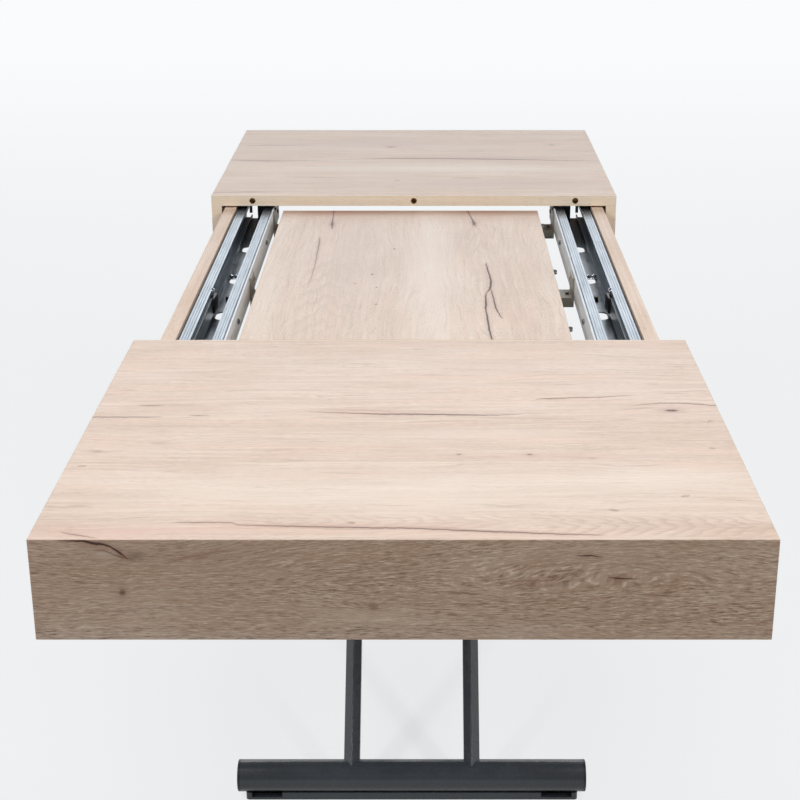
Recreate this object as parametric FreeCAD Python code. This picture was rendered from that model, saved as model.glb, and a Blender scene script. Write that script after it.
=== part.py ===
import FreeCAD, Part
import math
import os

Vector = FreeCAD.Vector

# Extending coffee and dining table on a scissor lift, in millimetres.
# X runs across the table, Y along its length with the front half at -Y, Z is up.
# The origin is on the floor at the middle. The table is modelled raised and drawn open.

# Table top
TABLE_WIDTH = 720.0
HALF_LENGTH = 600.0
DINING_HEIGHT = 760.0
COFFEE_HEIGHT = 380.0
SHOWN_TRAVEL = 402.5
BOX_HEIGHT = 108.0
BOARD = 18.0
ARRIS = 0.8
EDGE_BAND = 1.0

# Alignment pegs and their brass sockets
PEG_EDGE = 73.0
PEG_RADIUS = 3.8
PEG_OUT = 7.0
PEG_SET = 14.0
PEG_CLEAR = 0.3
PEG_NOSE = 1.2
PEG_SLOT = 1.6
SOCKET_WALL = 1.4
SET_CLEAR = 0.02

# Side units of the fixed frame, from the box wall inwards
WALL_GAP = 6.0
APRON = 20.0
APRON_HEIGHT = 82.0
APRON_LENGTH = 1120.0
APRON_DROP = 3.0
SPACER = 1.0
SPACER_RADIUS = 7.0
SPACER_PITCH = 300.0
SHEET = 2.0
TRAY_LENGTH = 1000.0
TRAY_WALL_DROP = 2.0
TRACK_DROP = 7.0
TRACK_HEIGHT = 40.0
TRACK_WALL = 2.0
TRACK_LIP = 7.0
OUTER_TRACK_WIDTH = 15.0
INNER_TRACK_WIDTH = 14.0
LANE = 30.0
RIB_WIDTH = 1.2
RIB_DEPTH = 0.8
SLOT_LENGTH = 40.0
SLOT_WIDTH = 22.0
SLOT_PITCH = 188.0
STOP_RADIUS = 5.0
STOP_HEIGHT = 6.0
STOP_AT = 14.0
CATCH_PLATE = 2.0
CATCH_LENGTH = 18.0
CATCH_OFFSET = 11.0
CATCH_EDGE = 0.5
CATCH_HEAD = 4.3
CATCH_HEAD_RADIUS = 3.2
CATCH_LOBE = 1.6
CATCH_LOBES = 5
CATCH_PITCH = 14.0
PLATE = 2.5
PLATE_HEIGHT = 49.0
PLATE_LIFT = 11.0
PLATE_SCREW_PITCH = 218.0
PLATE_SCREW_SHIFT = 30.0
PLATE_SCREW_RISE = 30.0
SCREW_HEAD_RADIUS = 4.5
SCREW_HEAD = 3.0
SCREW_RADIUS = 2.5

# Cross bars and the leaves stored on them
BAR_WIDTH = 45.0
BAR_HEIGHT = 15.0
BAR_WALL = 1.5
BAR_FLANGE = 3.0
BAR_FLANGE_RISE = 31.0
BAR_BOLT_EDGE = 9.0
BAR_BOLT_RADIUS = 3.5
BAR_BOLT_BITE = 6.0
LEAF_ROOM = 49.0
UPPER_LEAF_X = -6.0
UPPER_LEAF_Y = 24.0
LOWER_LEAF_X = -8.0
LOWER_LEAF_Y = 38.0
LEAF_SEAT = 10.5
LEAF_DOT = 1.0
LEAF_DOT_RADIUS = 6.0
LEAF_DOT_INSET = 60.0

# Runners of the two halves
RUN_CLEAR = 0.6
RUNNER_NOSE = 3.0
RUNNER_REACH = 291.5
RUNNER_END_GAP = 9.0
END_BLOCK = 30.0
END_BLOCK_CLEAR = 0.3
FRONT_BLOCK_NOSE = 8.0
REAR_BLOCK_NOSE = 2.0
BRACKET = 3.0
BRACKET_LENGTH = 42.0
BRACKET_FAR = 470.0
FRONT_LEG = 3.0
REAR_LEG = 11.0
FRONT_INSET = 3.0
REAR_INSET = 34.5
HOOK = 2.0
HOOK_WIDTH = 5.0
HOOK_LENGTH = 24.0
HOOK_DROP = 13.5
HOOK_SET = 3.0
HOOK_GAP = 5.0
WOOD_SCREW_RADIUS = 2.0
WOOD_SCREW_HEAD_RADIUS = 4.0
WOOD_SCREW_HEAD = 2.0
WOOD_SCREW_BITE = 12.0
WOOD_SCREW_PITCH = 22.0

# Feet
FOOT_SPREAD = 310.0
FOOT_AXIS = 32.0
TUBE_RADIUS = 24.0
TUBE_WALL = 2.5
TUBE_LENGTH = 518.0
CAP = 4.0
CAP_PLUG = 8.0
CAP_EDGE = 1.5
SPINDLE_LENGTH = 496.0
SPINDLE_CLEAR = 0.05
SPINDLE_WALL = 3.0
GLIDE_LENGTH = 502.0
GLIDE_WIDTH = 34.0
GLIDE_HEIGHT = 12.0
GLIDE_CORNER = 5.0
SADDLE_CLEAR = 0.3
LUG_AT = 223.0
LUG_LENGTH = 45.0
LUG_WIDTH = 14.0
LUG_SEAT = 4.0
LUG_CLEAR = 1.0

# Scissor arms
ARM_WIDTH = 24.0
ARM_DEPTH = 46.0
ARM_FLAT = 20.0
ARM_WALL = 2.5
ARM_EDGE = 2.0
ARM_GAP = 3.0
OUTER_ARM_AT = 91.0
BOSS_RADIUS = 15.0
ARM_END = 9.0
SHAFT_RADIUS = 8.0
SHAFT_CLEAR = 0.1
SHAFT_END = 3.0
NUT_RADIUS = 12.0
NUT = 6.0

# Lift channels under the cross bars
CHANNEL_GAP = 3.0
CHANNEL_WIDTH = 22.0
CHANNEL_HEIGHT = 44.0
CHANNEL_WALL = 2.5
CHANNEL_FRONT = 440.0
CHANNEL_STOP = 6.0
STOP_GAP = 2.0
ROLLER_CLEAR = 0.3
ROLLER_WIDTH = 14.0
ROLLER_EDGE = 1.5
COLLAR_RADIUS = 11.0
BUSH_RADIUS = 15.0

# Gas springs between the lever on the rear arms and the middle cross bar
LEVER = 80.0
SPRING_AT = 28.0
SLEEVE_RADIUS = 13.0
PIN_RADIUS = 4.0
EYE_RADIUS = 9.0
EYE_WIDTH = 6.0
CHEEK = 4.0
CHEEK_GAP = 0.5
PIN_CLEAR = 0.3
SPRING_RADIUS = 11.0
SPRING_WALL = 2.0
SPRING_LENGTH = 160.0
SPRING_CAP = 8.0
ROD_RADIUS = 5.0
ROD_CLEAR = 0.2
ROD_SHOWN = 82.0
ROD_GAP = 5.0
PISTON = 10.0
ANCHOR_EYE_GAP = 14.0
ANCHOR_WEB = 6.0

# Heights that follow from the sizes above
BOX_BOTTOM = DINING_HEIGHT - BOX_HEIGHT
PANEL_UNDERSIDE = DINING_HEIGHT - BOARD
PEG_HEIGHT = DINING_HEIGHT - BOARD / 2
APRON_TOP = PANEL_UNDERSIDE - APRON_DROP
TRACK_TOP = PANEL_UNDERSIDE - TRACK_DROP
TRACK_BOTTOM = TRACK_TOP - TRACK_HEIGHT
PLATE_BOTTOM = TRACK_TOP - PLATE_HEIGHT
BAR_TOP = PLATE_BOTTOM + BAR_HEIGHT
PIVOT_HEIGHT = PLATE_BOTTOM - CHANNEL_HEIGHT / 2

# Places across the table that follow from the sizes above
PEG_PITCH = TABLE_WIDTH / 2 - PEG_EDGE
WALL_FACE = TABLE_WIDTH / 2 - BOARD
APRON_OUTER = WALL_FACE - WALL_GAP
APRON_INNER = APRON_OUTER - APRON
TRAY_OUTER = APRON_INNER - SPACER
OUTER_WEB = TRAY_OUTER - SHEET
INNER_WEB = OUTER_WEB - OUTER_TRACK_WIDTH - LANE - INNER_TRACK_WIDTH
TRAY_INNER = INNER_WEB - SHEET
WELL = TRAY_INNER - PLATE
LEAF_WIDTH = 2 * WELL - LEAF_ROOM
LANE_MIDDLE = OUTER_WEB - OUTER_TRACK_WIDTH - LANE / 2
INNER_ARM_AT = OUTER_ARM_AT - ARM_WIDTH - ARM_GAP
CHANNEL_MOUTH = OUTER_ARM_AT + ARM_WIDTH / 2 + CHANNEL_GAP
CHANNEL_BACK = CHANNEL_MOUTH + CHANNEL_WIDTH
BUSH_INNER = CHANNEL_BACK - CHANNEL_WALL - ROLLER_WIDTH

# The end of the lower leaf rests on the rear cross bar, and the bars stand evenly about the middle
BAR_PITCH = LOWER_LEAF_Y + TABLE_WIDTH / 2 - LEAF_SEAT + BAR_WIDTH / 2

# The scissor: its arm length, its lean when raised and the swing down to coffee height
RISE = PIVOT_HEIGHT - FOOT_AXIS
ARM_LENGTH = math.hypot(2 * FOOT_SPREAD, RISE)
LEAN_HIGH = math.atan2(RISE, 2 * FOOT_SPREAD)
LEAN_LOW = math.asin((RISE - DINING_HEIGHT + COFFEE_HEIGHT) / ARM_LENGTH)
SWING = LEAN_HIGH - LEAN_LOW
SLIDER_LOW = ARM_LENGTH * math.cos(LEAN_LOW) - FOOT_SPREAD
ROLLER_RADIUS = CHANNEL_HEIGHT / 2 - CHANNEL_WALL - ROLLER_CLEAR
CHANNEL_STOP_AT = SLIDER_LOW + ROLLER_RADIUS + STOP_GAP
CHANNEL_REAR = CHANNEL_STOP_AT + CHANNEL_STOP
HUB_HEIGHT = FOOT_AXIS + RISE / 2

# The lever swings evenly about the vertical, so its eye rises and falls only a little
LEVER_ANGLE = SWING / 2
EYE_Y = -FOOT_SPREAD - LEVER * math.sin(LEVER_ANGLE)
EYE_HIGH = PIVOT_HEIGHT - LEVER * math.cos(LEVER_ANGLE)
EYE_LOW = PIVOT_HEIGHT - LEVER
SPRING_AXIS = (EYE_HIGH + EYE_LOW) / 2
EYE_SLOT = (EYE_HIGH - EYE_LOW) / 2
CYLINDER_FRONT = EYE_Y + EYE_RADIUS + ROD_SHOWN
CYLINDER_REAR = CYLINDER_FRONT + SPRING_LENGTH
ANCHOR_Y = CYLINDER_REAR + ANCHOR_EYE_GAP

# What carries each half: its track, the leg of its brackets and the nose of its end blocks
FRONT_CARRIAGE = {
    "web": OUTER_WEB,
    "direction": -1,
    "width": OUTER_TRACK_WIDTH,
    "leg": FRONT_LEG,
    "inset": FRONT_INSET,
    "nose": FRONT_BLOCK_NOSE,
}
REAR_CARRIAGE = {
    "web": INNER_WEB,
    "direction": 1,
    "width": INNER_TRACK_WIDTH,
    "leg": REAR_LEG,
    "inset": REAR_INSET,
    "nose": REAR_BLOCK_NOSE,
}

MIRROR_X = Vector(1, 0, 0)
MIRROR_Y = Vector(0, 1, 0)
ORIGIN = Vector(0, 0, 0)


def block(x, y, z):
    """Box between the two values of each axis."""
    return Part.makeBox(x[1] - x[0], y[1] - y[0], z[1] - z[0], Vector(x[0], y[0], z[0]))


def rod_x(radius, x, y, z):
    """Round bar along X between the two values of x."""
    return Part.makeCylinder(radius, x[1] - x[0], Vector(x[0], y, z), Vector(1, 0, 0))


def rod_y(radius, x, y, z):
    """Round bar along Y between the two values of y."""
    return Part.makeCylinder(radius, y[1] - y[0], Vector(x, y[0], z), Vector(0, 1, 0))


def rod_z(radius, x, y, z):
    """Round bar along Z between the two values of z."""
    return Part.makeCylinder(radius, z[1] - z[0], Vector(x, y, z[0]))


def polygon(points):
    """Closed wire through the points."""
    return Part.makePolygon(points + points[:1])


def profile_along_y(points, y):
    """Straight profile along Y with the (x, z) outline."""
    face = Part.Face(polygon([Vector(px, y[0], pz) for px, pz in points]))
    return face.extrude(Vector(0, y[1] - y[0], 0))


def profile_along_x(points, x):
    """Straight profile along X with the (y, z) outline."""
    face = Part.Face(polygon([Vector(x[0], py, pz) for py, pz in points]))
    return face.extrude(Vector(x[1] - x[0], 0, 0))


def mitred_board(outer, inner):
    """Board between its outer face and the smaller inner face left by its mitres."""
    return Part.makeLoft([polygon(outer), polygon(inner)], True, True)


def mirrored(shape, axis):
    """Copy of the shape on the other side of the middle of the table."""
    return shape.mirror(ORIGIN, axis)


def pair(shape):
    """The shape and its copy on the other side, as one group."""
    return Part.makeCompound([shape, mirrored(shape, MIRROR_X)])


def both_sides(shapes):
    """The shapes and their copies on the other side, as one group."""
    return Part.makeCompound(shapes + [mirrored(shape, MIRROR_X) for shape in shapes])


def bored(shape, tools):
    """The shape with every tool cut out of it."""
    for tool in tools:
        shape = shape.cut(tool)
    return shape


def fused(shapes):
    """The shapes joined into one solid."""
    whole = shapes[0]
    for shape in shapes[1:]:
        whole = whole.fuse(shape)
    return whole.removeSplitter()


def pitched(pitch, count):
    """Places of a row of equal steps about zero."""
    return [pitch * (index - (count - 1) / 2) for index in range(count)]


def peg(direction, face, across, height):
    """Peg along Y, set into an edge face, with two prongs that stand out of it towards direction."""
    tip = face + direction * PEG_OUT
    body = rod_y(PEG_RADIUS, across, sorted((face - direction * PEG_SET, tip)), height)
    rim = [edge for edge in body.Edges if abs(edge.CenterOfMass.y - tip) < SET_CLEAR and edge.Closed]
    gap = block(
        (across - PEG_RADIUS, across + PEG_RADIUS),
        sorted((face, tip)),
        (height - PEG_SLOT / 2, height + PEG_SLOT / 2),
    )
    return body.makeChamfer(PEG_NOSE, rim).cut(gap)


def peg_hole(direction, face, across, height, radius):
    """Blind hole along Y that a peg or a socket is set into."""
    ends = sorted((face - direction * PEG_SET, face + direction * EDGE_BAND))
    return rod_y(radius + SET_CLEAR, across, ends, height)


def socket(direction, face, across, height):
    """Brass ring along Y, flush with an edge face that looks towards direction."""
    ends = sorted((face - direction * PEG_SET, face))
    bore = PEG_RADIUS + PEG_CLEAR
    return rod_y(bore + SOCKET_WALL, across, ends, height).cut(rod_y(bore, across, ends, height))


def half_block():
    """Outside of one half with its mating edge on Y = 0 and every outer corner eased."""
    side = TABLE_WIDTH / 2
    whole = block((-side, side), (0, HALF_LENGTH), (BOX_BOTTOM, DINING_HEIGHT))
    middle = (BOX_BOTTOM + DINING_HEIGHT) / 2
    eased = [
        Vector(-side, HALF_LENGTH / 2, DINING_HEIGHT),
        Vector(side, HALF_LENGTH / 2, DINING_HEIGHT),
        Vector(0, HALF_LENGTH, DINING_HEIGHT),
        Vector(-side, HALF_LENGTH, middle),
        Vector(side, HALF_LENGTH, middle),
    ]
    edges = [
        edge
        for edge in whole.Edges
        if any(edge.CenterOfMass.distanceToPoint(place) < BOARD / 2 for place in eased)
    ]
    return whole.makeFillet(ARRIS, edges)


def half_boards():
    """Mitred boards and edge bands of one half, with its mating edge on Y = 0."""
    side = TABLE_WIDTH / 2
    top = DINING_HEIGHT
    under = PANEL_UNDERSIDE
    end = HALF_LENGTH
    inner_end = HALF_LENGTH - BOARD
    start = EDGE_BAND
    rounded = half_block()
    panel = mitred_board(
        [Vector(x, y, top) for x, y in ((-side, start), (side, start), (side, end), (-side, end))],
        [
            Vector(x, y, under)
            for x, y in (
                (-WALL_FACE, start),
                (WALL_FACE, start),
                (WALL_FACE, inner_end),
                (-WALL_FACE, inner_end),
            )
        ],
    )
    fascia = mitred_board(
        [Vector(x, end, z) for x, z in ((-side, BOX_BOTTOM), (side, BOX_BOTTOM), (side, top), (-side, top))],
        [
            Vector(x, inner_end, z)
            for x, z in (
                (-WALL_FACE, BOX_BOTTOM),
                (WALL_FACE, BOX_BOTTOM),
                (WALL_FACE, under),
                (-WALL_FACE, under),
            )
        ],
    )
    wall = mitred_board(
        [Vector(side, y, z) for y, z in ((start, BOX_BOTTOM), (end, BOX_BOTTOM), (end, top), (start, top))],
        [
            Vector(WALL_FACE, y, z)
            for y, z in ((start, BOX_BOTTOM), (inner_end, BOX_BOTTOM), (inner_end, under), (start, under))
        ],
    )
    top_band = profile_along_y(
        [(-side, top), (side, top), (WALL_FACE, under), (-WALL_FACE, under)], (0, EDGE_BAND)
    )
    side_band = profile_along_y(
        [(side, BOX_BOTTOM), (side, top), (WALL_FACE, under), (WALL_FACE, BOX_BOTTOM)], (0, EDGE_BAND)
    )
    return {
        "panel": panel.common(rounded),
        "fascia": fascia.common(rounded),
        "wall": wall.common(rounded),
        "top_band": top_band.common(rounded),
        "side_band": side_band.common(rounded),
    }


def lane_outline(points, web, direction):
    """(u, v) points of a lane, from its web and the tray floor, as (x, z) points."""
    return [(web + direction * u, TRACK_BOTTOM + v) for u, v in points]


def track(web, direction, width):
    """Extruded track, open towards the lane, with ribs along its top."""
    mouth = TRACK_HEIGHT - TRACK_LIP
    groove_count = int((width - RIB_WIDTH) // (3 * RIB_WIDTH))
    step = width / (groove_count + 1)
    points = [
        (0, 0),
        (width, 0),
        (width, TRACK_LIP),
        (width - TRACK_WALL, TRACK_LIP),
        (width - TRACK_WALL, TRACK_WALL),
        (TRACK_WALL, TRACK_WALL),
        (TRACK_WALL, TRACK_HEIGHT - TRACK_WALL),
        (width - TRACK_WALL, TRACK_HEIGHT - TRACK_WALL),
        (width - TRACK_WALL, mouth),
        (width, mouth),
        (width, TRACK_HEIGHT),
    ]
    for index in range(groove_count, 0, -1):
        middle = index * step
        points += [
            (middle + RIB_WIDTH / 2, TRACK_HEIGHT),
            (middle + RIB_WIDTH / 2, TRACK_HEIGHT - RIB_DEPTH),
            (middle - RIB_WIDTH / 2, TRACK_HEIGHT - RIB_DEPTH),
            (middle - RIB_WIDTH / 2, TRACK_HEIGHT),
        ]
    points.append((0, TRACK_HEIGHT))
    return profile_along_y(lane_outline(points, web, direction), (-TRAY_LENGTH / 2, TRAY_LENGTH / 2))


def runner_outline(width, clear, nose):
    """Outline of what slides in a track of that width: a bar with a nose out of the mouth."""
    back = TRACK_WALL + clear
    front = width - TRACK_WALL - clear
    low = TRACK_WALL + clear
    high = TRACK_HEIGHT - TRACK_WALL - clear
    nose_low = TRACK_LIP + clear
    nose_high = TRACK_HEIGHT - TRACK_LIP - clear
    return [
        (back, low),
        (front, low),
        (front, nose_low),
        (width + nose, nose_low),
        (width + nose, nose_high),
        (front, nose_high),
        (front, high),
        (back, high),
    ]


def bracket_places(carriage):
    """Spans along a half, from its mating edge, of the brackets that carry its runners."""
    return [(start, start + BRACKET_LENGTH) for start in (carriage["inset"], BRACKET_FAR)]


def screw_places(carriage):
    """(x, y) places of the screws in the right brackets of a half."""
    x = carriage["web"] + carriage["direction"] * carriage["width"] / 2
    places = []
    for span in bracket_places(carriage):
        middle = (span[0] + span[1]) / 2
        places += [(x, middle + offset) for offset in pitched(WOOD_SCREW_PITCH, 2)]
    return places


def runner_set(carriage):
    """Right runner of a half with its brackets, end block and screws, mating edge on Y = 0."""
    web = carriage["web"]
    direction = carriage["direction"]
    width = carriage["width"]
    near = -RUNNER_REACH
    far = HALF_LENGTH - BOARD - RUNNER_END_GAP
    bar = profile_along_y(
        lane_outline(runner_outline(width, RUN_CLEAR, RUNNER_NOSE), web, direction), (near, far)
    )
    end_block = profile_along_y(
        lane_outline(runner_outline(width, END_BLOCK_CLEAR, carriage["nose"]), web, direction),
        (near - END_BLOCK, near),
    )
    leg_low = TRACK_LIP + RUN_CLEAR
    leg_top = PANEL_UNDERSIDE - TRACK_BOTTOM
    leg = width + RUNNER_NOSE
    outline = [
        (leg, leg_low),
        (leg + carriage["leg"], leg_low),
        (leg + carriage["leg"], leg_top),
        (BRACKET, leg_top),
        (BRACKET, leg_top - BRACKET),
        (leg, leg_top - BRACKET),
    ]
    places = screw_places(carriage)
    holes = [wood_screw_hole(x, y) for x, y in places]
    brackets = [
        bored(profile_along_y(lane_outline(outline, web, direction), span), holes)
        for span in bracket_places(carriage)
    ]
    screws = [wood_screw(x, y) for x, y in places]
    return {"bar": bar, "end_block": end_block, "brackets": brackets, "screws": screws}


def edge_hook():
    """Small right angle hook under the mating edge of the rear half, beside the outer lane."""
    outer = OUTER_WEB - OUTER_TRACK_WIDTH - HOOK_GAP
    across = (outer - HOOK_WIDTH, outer)
    leaf = block(across, (HOOK_SET, HOOK_SET + HOOK_LENGTH), (PANEL_UNDERSIDE - HOOK, PANEL_UNDERSIDE))
    lip = block(across, (HOOK_SET, HOOK_SET + HOOK), (PANEL_UNDERSIDE - HOOK_DROP, PANEL_UNDERSIDE))
    return fused([leaf, lip])


def wood_screw(x, y):
    """Pan head screw driven up through a bracket into the panel."""
    seat = PANEL_UNDERSIDE - BRACKET
    head = rod_z(WOOD_SCREW_HEAD_RADIUS, x, y, (seat - WOOD_SCREW_HEAD, seat))
    shank = rod_z(WOOD_SCREW_RADIUS, x, y, (seat, PANEL_UNDERSIDE + WOOD_SCREW_BITE))
    return fused([head, shank])


def wood_screw_hole(x, y):
    """Hole for one such screw through the bracket and into the panel."""
    seat = PANEL_UNDERSIDE - BRACKET
    return rod_z(WOOD_SCREW_RADIUS + SET_CLEAR, x, y, (seat, PANEL_UNDERSIDE + WOOD_SCREW_BITE))


def table_half(name, carriage, fitting):
    """Nodes of a half in the place of the rear one: its boards, runners and edge fittings."""
    boards = half_boards()
    runners = runner_set(carriage)
    holes = []
    for x, y in screw_places(carriage):
        holes += [wood_screw_hole(x, y), wood_screw_hole(-x, y)]
    brackets = list(runners["brackets"])
    fittings = []
    for across in pitched(PEG_PITCH, 3):
        if fitting == "sockets":
            fittings.append(socket(-1, 0, across, PEG_HEIGHT))
            radius = PEG_RADIUS + PEG_CLEAR + SOCKET_WALL
        else:
            fittings.append(peg(-1, 0, across, PEG_HEIGHT))
            radius = PEG_RADIUS
        holes.append(peg_hole(-1, 0, across, PEG_HEIGHT, radius))
    if fitting == "sockets":
        brackets.append(edge_hook())
    panel = bored(boards["panel"], holes)
    top_band = bored(boards["top_band"], holes)
    bands = [top_band, boards["side_band"], mirrored(boards["side_band"], MIRROR_X)]
    nodes = {
        f"{name}_top_panel": panel,
        f"{name}_fascia": boards["fascia"],
        f"{name}_sides": pair(boards["wall"]),
        f"{name}_edge_bands": Part.makeCompound(bands),
        f"{name}_edge_{fitting}": Part.makeCompound(fittings),
        f"{name}_runners": pair(runners["bar"]),
        f"{name}_runner_end_blocks": pair(runners["end_block"]),
        f"{name}_runner_brackets": both_sides(brackets),
        f"{name}_bracket_screws": both_sides(runners["screws"]),
    }
    return {key: shape.translated(Vector(0, SHOWN_TRAVEL, 0)) for key, shape in nodes.items()}


def table_halves():
    """Nodes of both halves: the front one slides in the outer tracks, the rear one in the inner."""
    nodes = table_half("rear", REAR_CARRIAGE, "sockets")
    for key, shape in table_half("front", FRONT_CARRIAGE, "pegs").items():
        nodes[key] = mirrored(shape, MIRROR_Y)
    return nodes


def plate_screw_places():
    """Places of the screws along a frame side, between its cross bars."""
    return [PLATE_SCREW_SHIFT + PLATE_SCREW_PITCH * step for step in (-1, 0, 1, 2)]


def plate_screw(y):
    """Screw through a frame side and the tray into the inner track, on the right."""
    height = PLATE_BOTTOM + PLATE_SCREW_RISE
    head = rod_x(SCREW_HEAD_RADIUS, (WELL - SCREW_HEAD, WELL), y, height)
    shank = rod_x(SCREW_RADIUS, (WELL, INNER_WEB + TRACK_WALL), y, height)
    return fused([head, shank])


def plate_screw_hole(y):
    """Hole for one such screw."""
    height = PLATE_BOTTOM + PLATE_SCREW_RISE
    return rod_x(SCREW_RADIUS + SET_CLEAR, (WELL, INNER_WEB + TRACK_WALL), y, height)


def slide_tray():
    """Folded sheet channel on the right that holds both tracks, with slots in its floor."""
    half = TRAY_LENGTH / 2
    floor = TRACK_BOTTOM - SHEET
    wall_top = TRACK_TOP - TRAY_WALL_DROP
    tray = profile_along_y(
        [
            (TRAY_INNER, floor),
            (TRAY_OUTER, floor),
            (TRAY_OUTER, wall_top),
            (OUTER_WEB, wall_top),
            (OUTER_WEB, TRACK_BOTTOM),
            (INNER_WEB, TRACK_BOTTOM),
            (INNER_WEB, wall_top),
            (TRAY_INNER, wall_top),
        ],
        (-half, half),
    )
    return bored(tray, [oval_slot(place) for place in pitched(SLOT_PITCH, 4)])


def oval_slot(y):
    """Long round-ended slot through the tray floor, along Y."""
    floor = (TRACK_BOTTOM - SHEET, TRACK_BOTTOM)
    radius = SLOT_WIDTH / 2
    reach = SLOT_LENGTH / 2 - radius
    across = (LANE_MIDDLE - radius, LANE_MIDDLE + radius)
    return fused(
        [
            block(across, (y - reach, y + reach), floor),
            rod_z(radius, LANE_MIDDLE, y - reach, floor),
            rod_z(radius, LANE_MIDDLE, y + reach, floor),
        ]
    )


def tray_catch():
    """Plate across the right tray's slot behind the middle, held by two lobed screws."""
    lane = LANE / 2 - CATCH_EDGE
    middle = SLOT_PITCH / 2 + CATCH_OFFSET
    plate_top = TRACK_BOTTOM + CATCH_PLATE
    pieces = [
        block(
            (LANE_MIDDLE - lane, LANE_MIDDLE + lane),
            (middle - CATCH_LENGTH / 2, middle + CATCH_LENGTH / 2),
            (TRACK_BOTTOM, plate_top),
        )
    ]
    head = (plate_top, plate_top + CATCH_HEAD)
    for offset in pitched(CATCH_PITCH, 2):
        pieces.append(rod_z(CATCH_HEAD_RADIUS, LANE_MIDDLE + offset, middle, head))
        for index in range(CATCH_LOBES):
            turn = 2 * math.pi * index / CATCH_LOBES
            x = LANE_MIDDLE + offset + CATCH_HEAD_RADIUS * math.cos(turn)
            pieces.append(rod_z(CATCH_LOBE, x, middle + CATCH_HEAD_RADIUS * math.sin(turn), head))
    return fused(pieces)


def side_units():
    """Nodes of the fixed frame along both sides: aprons, trays, tracks and frame sides."""
    half = TRAY_LENGTH / 2
    holes = [plate_screw_hole(place) for place in plate_screw_places()]
    apron = block(
        (APRON_INNER, APRON_OUTER),
        (-APRON_LENGTH / 2, APRON_LENGTH / 2),
        (APRON_TOP - APRON_HEIGHT, APRON_TOP),
    )
    spacer_height = (TRACK_BOTTOM + TRACK_TOP) / 2
    spacers = [
        rod_x(SPACER_RADIUS, (TRAY_OUTER, APRON_INNER), place, spacer_height)
        for place in pitched(SPACER_PITCH, 4)
    ]
    plate = block((WELL, TRAY_INNER), (-half, half), (PLATE_BOTTOM + PLATE_LIFT, TRACK_TOP))
    screws = [plate_screw(place) for place in plate_screw_places()]
    screws += [bar_bolt(place) for place in pitched(BAR_PITCH, 3)]
    stop = rod_z(STOP_RADIUS, LANE_MIDDLE, -STOP_AT, (TRACK_BOTTOM, TRACK_BOTTOM + STOP_HEIGHT))
    return {
        "side_aprons": pair(apron),
        "apron_spacers": both_sides(spacers),
        "slide_trays": pair(bored(slide_tray(), holes)),
        "outer_tracks": pair(track(OUTER_WEB, -1, OUTER_TRACK_WIDTH)),
        "inner_tracks": pair(bored(track(INNER_WEB, 1, INNER_TRACK_WIDTH), holes)),
        "frame_sides": pair(bored(plate, holes)),
        "frame_screws": both_sides(screws),
        "tray_stops": pair(stop),
        "tray_catches": pair(tray_catch()),
    }


def bar_bolt(y):
    """Right bolt through the top of a cross bar, beside the frame side."""
    x = WELL - BAR_BOLT_EDGE
    head = rod_z(BAR_BOLT_RADIUS, x, y, (BAR_TOP, BAR_TOP + SCREW_HEAD))
    return fused([head, rod_z(SCREW_RADIUS, x, y, (BAR_TOP - BAR_BOLT_BITE, BAR_TOP))])


def bar_bolt_hole(y):
    """Hole for one such bolt."""
    return rod_z(SCREW_RADIUS + SET_CLEAR, WELL - BAR_BOLT_EDGE, y, (BAR_TOP - BAR_BOLT_BITE, BAR_TOP))


def cross_bar(y):
    """Hollow flat bar across the well, with an upright flange at each end welded to a frame side."""
    span = (y - BAR_WIDTH / 2, y + BAR_WIDTH / 2)
    whole = block((-WELL, WELL), span, (PLATE_BOTTOM, BAR_TOP))
    hollow = block(
        (-WELL, WELL),
        (span[0] + BAR_WALL, span[1] - BAR_WALL),
        (PLATE_BOTTOM + BAR_WALL, BAR_TOP - BAR_WALL),
    )
    flange = block((WELL - BAR_FLANGE, WELL), span, (BAR_TOP, BAR_TOP + BAR_FLANGE_RISE))
    hole = bar_bolt_hole(y)
    bar = bored(whole, [hollow, hole, mirrored(hole, MIRROR_X)])
    return fused([bar, flange, mirrored(flange, MIRROR_X)])


def cross_bars():
    """Nodes of the three cross bars."""
    names = ("cross_bar_front", "cross_bar_middle", "cross_bar_rear")
    return {name: cross_bar(place) for name, place in zip(names, pitched(BAR_PITCH, 3))}


def stored_leaf(name, middle, base, peg_side):
    """Nodes of one stored leaf, turned so that its length lies along the table."""
    half_width = LEAF_WIDTH / 2
    half_length = TABLE_WIDTH / 2
    height = base + BOARD / 2
    board = block((-half_width, half_width), (-half_length, half_length), (base, base + BOARD))
    board = board.makeFillet(ARRIS, [edge for edge in board.Edges if edge.CenterOfMass.z > height])
    turn = FreeCAD.Placement(ORIGIN, FreeCAD.Rotation(Vector(0, 0, 1), -90 * peg_side))
    pegs = []
    sockets = []
    for across in pitched(PEG_PITCH, 3):
        pegs.append(placed(peg(1, half_width, across, height), turn))
        sockets.append(placed(socket(-1, -half_width, across, height), turn))
        ring = PEG_RADIUS + PEG_CLEAR + SOCKET_WALL
        board = board.cut(placed(peg_hole(1, half_width, across, height, PEG_RADIUS), turn))
        board = board.cut(placed(peg_hole(-1, -half_width, across, height, ring), turn))
    nodes = {
        f"{name}_board": board,
        f"{name}_pegs": Part.makeCompound(pegs),
        f"{name}_sockets": Part.makeCompound(sockets),
    }
    return {key: shape.translated(Vector(middle[0], middle[1], 0)) for key, shape in nodes.items()}


def placed(shape, placement):
    """Copy of the shape moved by the placement."""
    return shape.transformed(placement.toMatrix())


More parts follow.
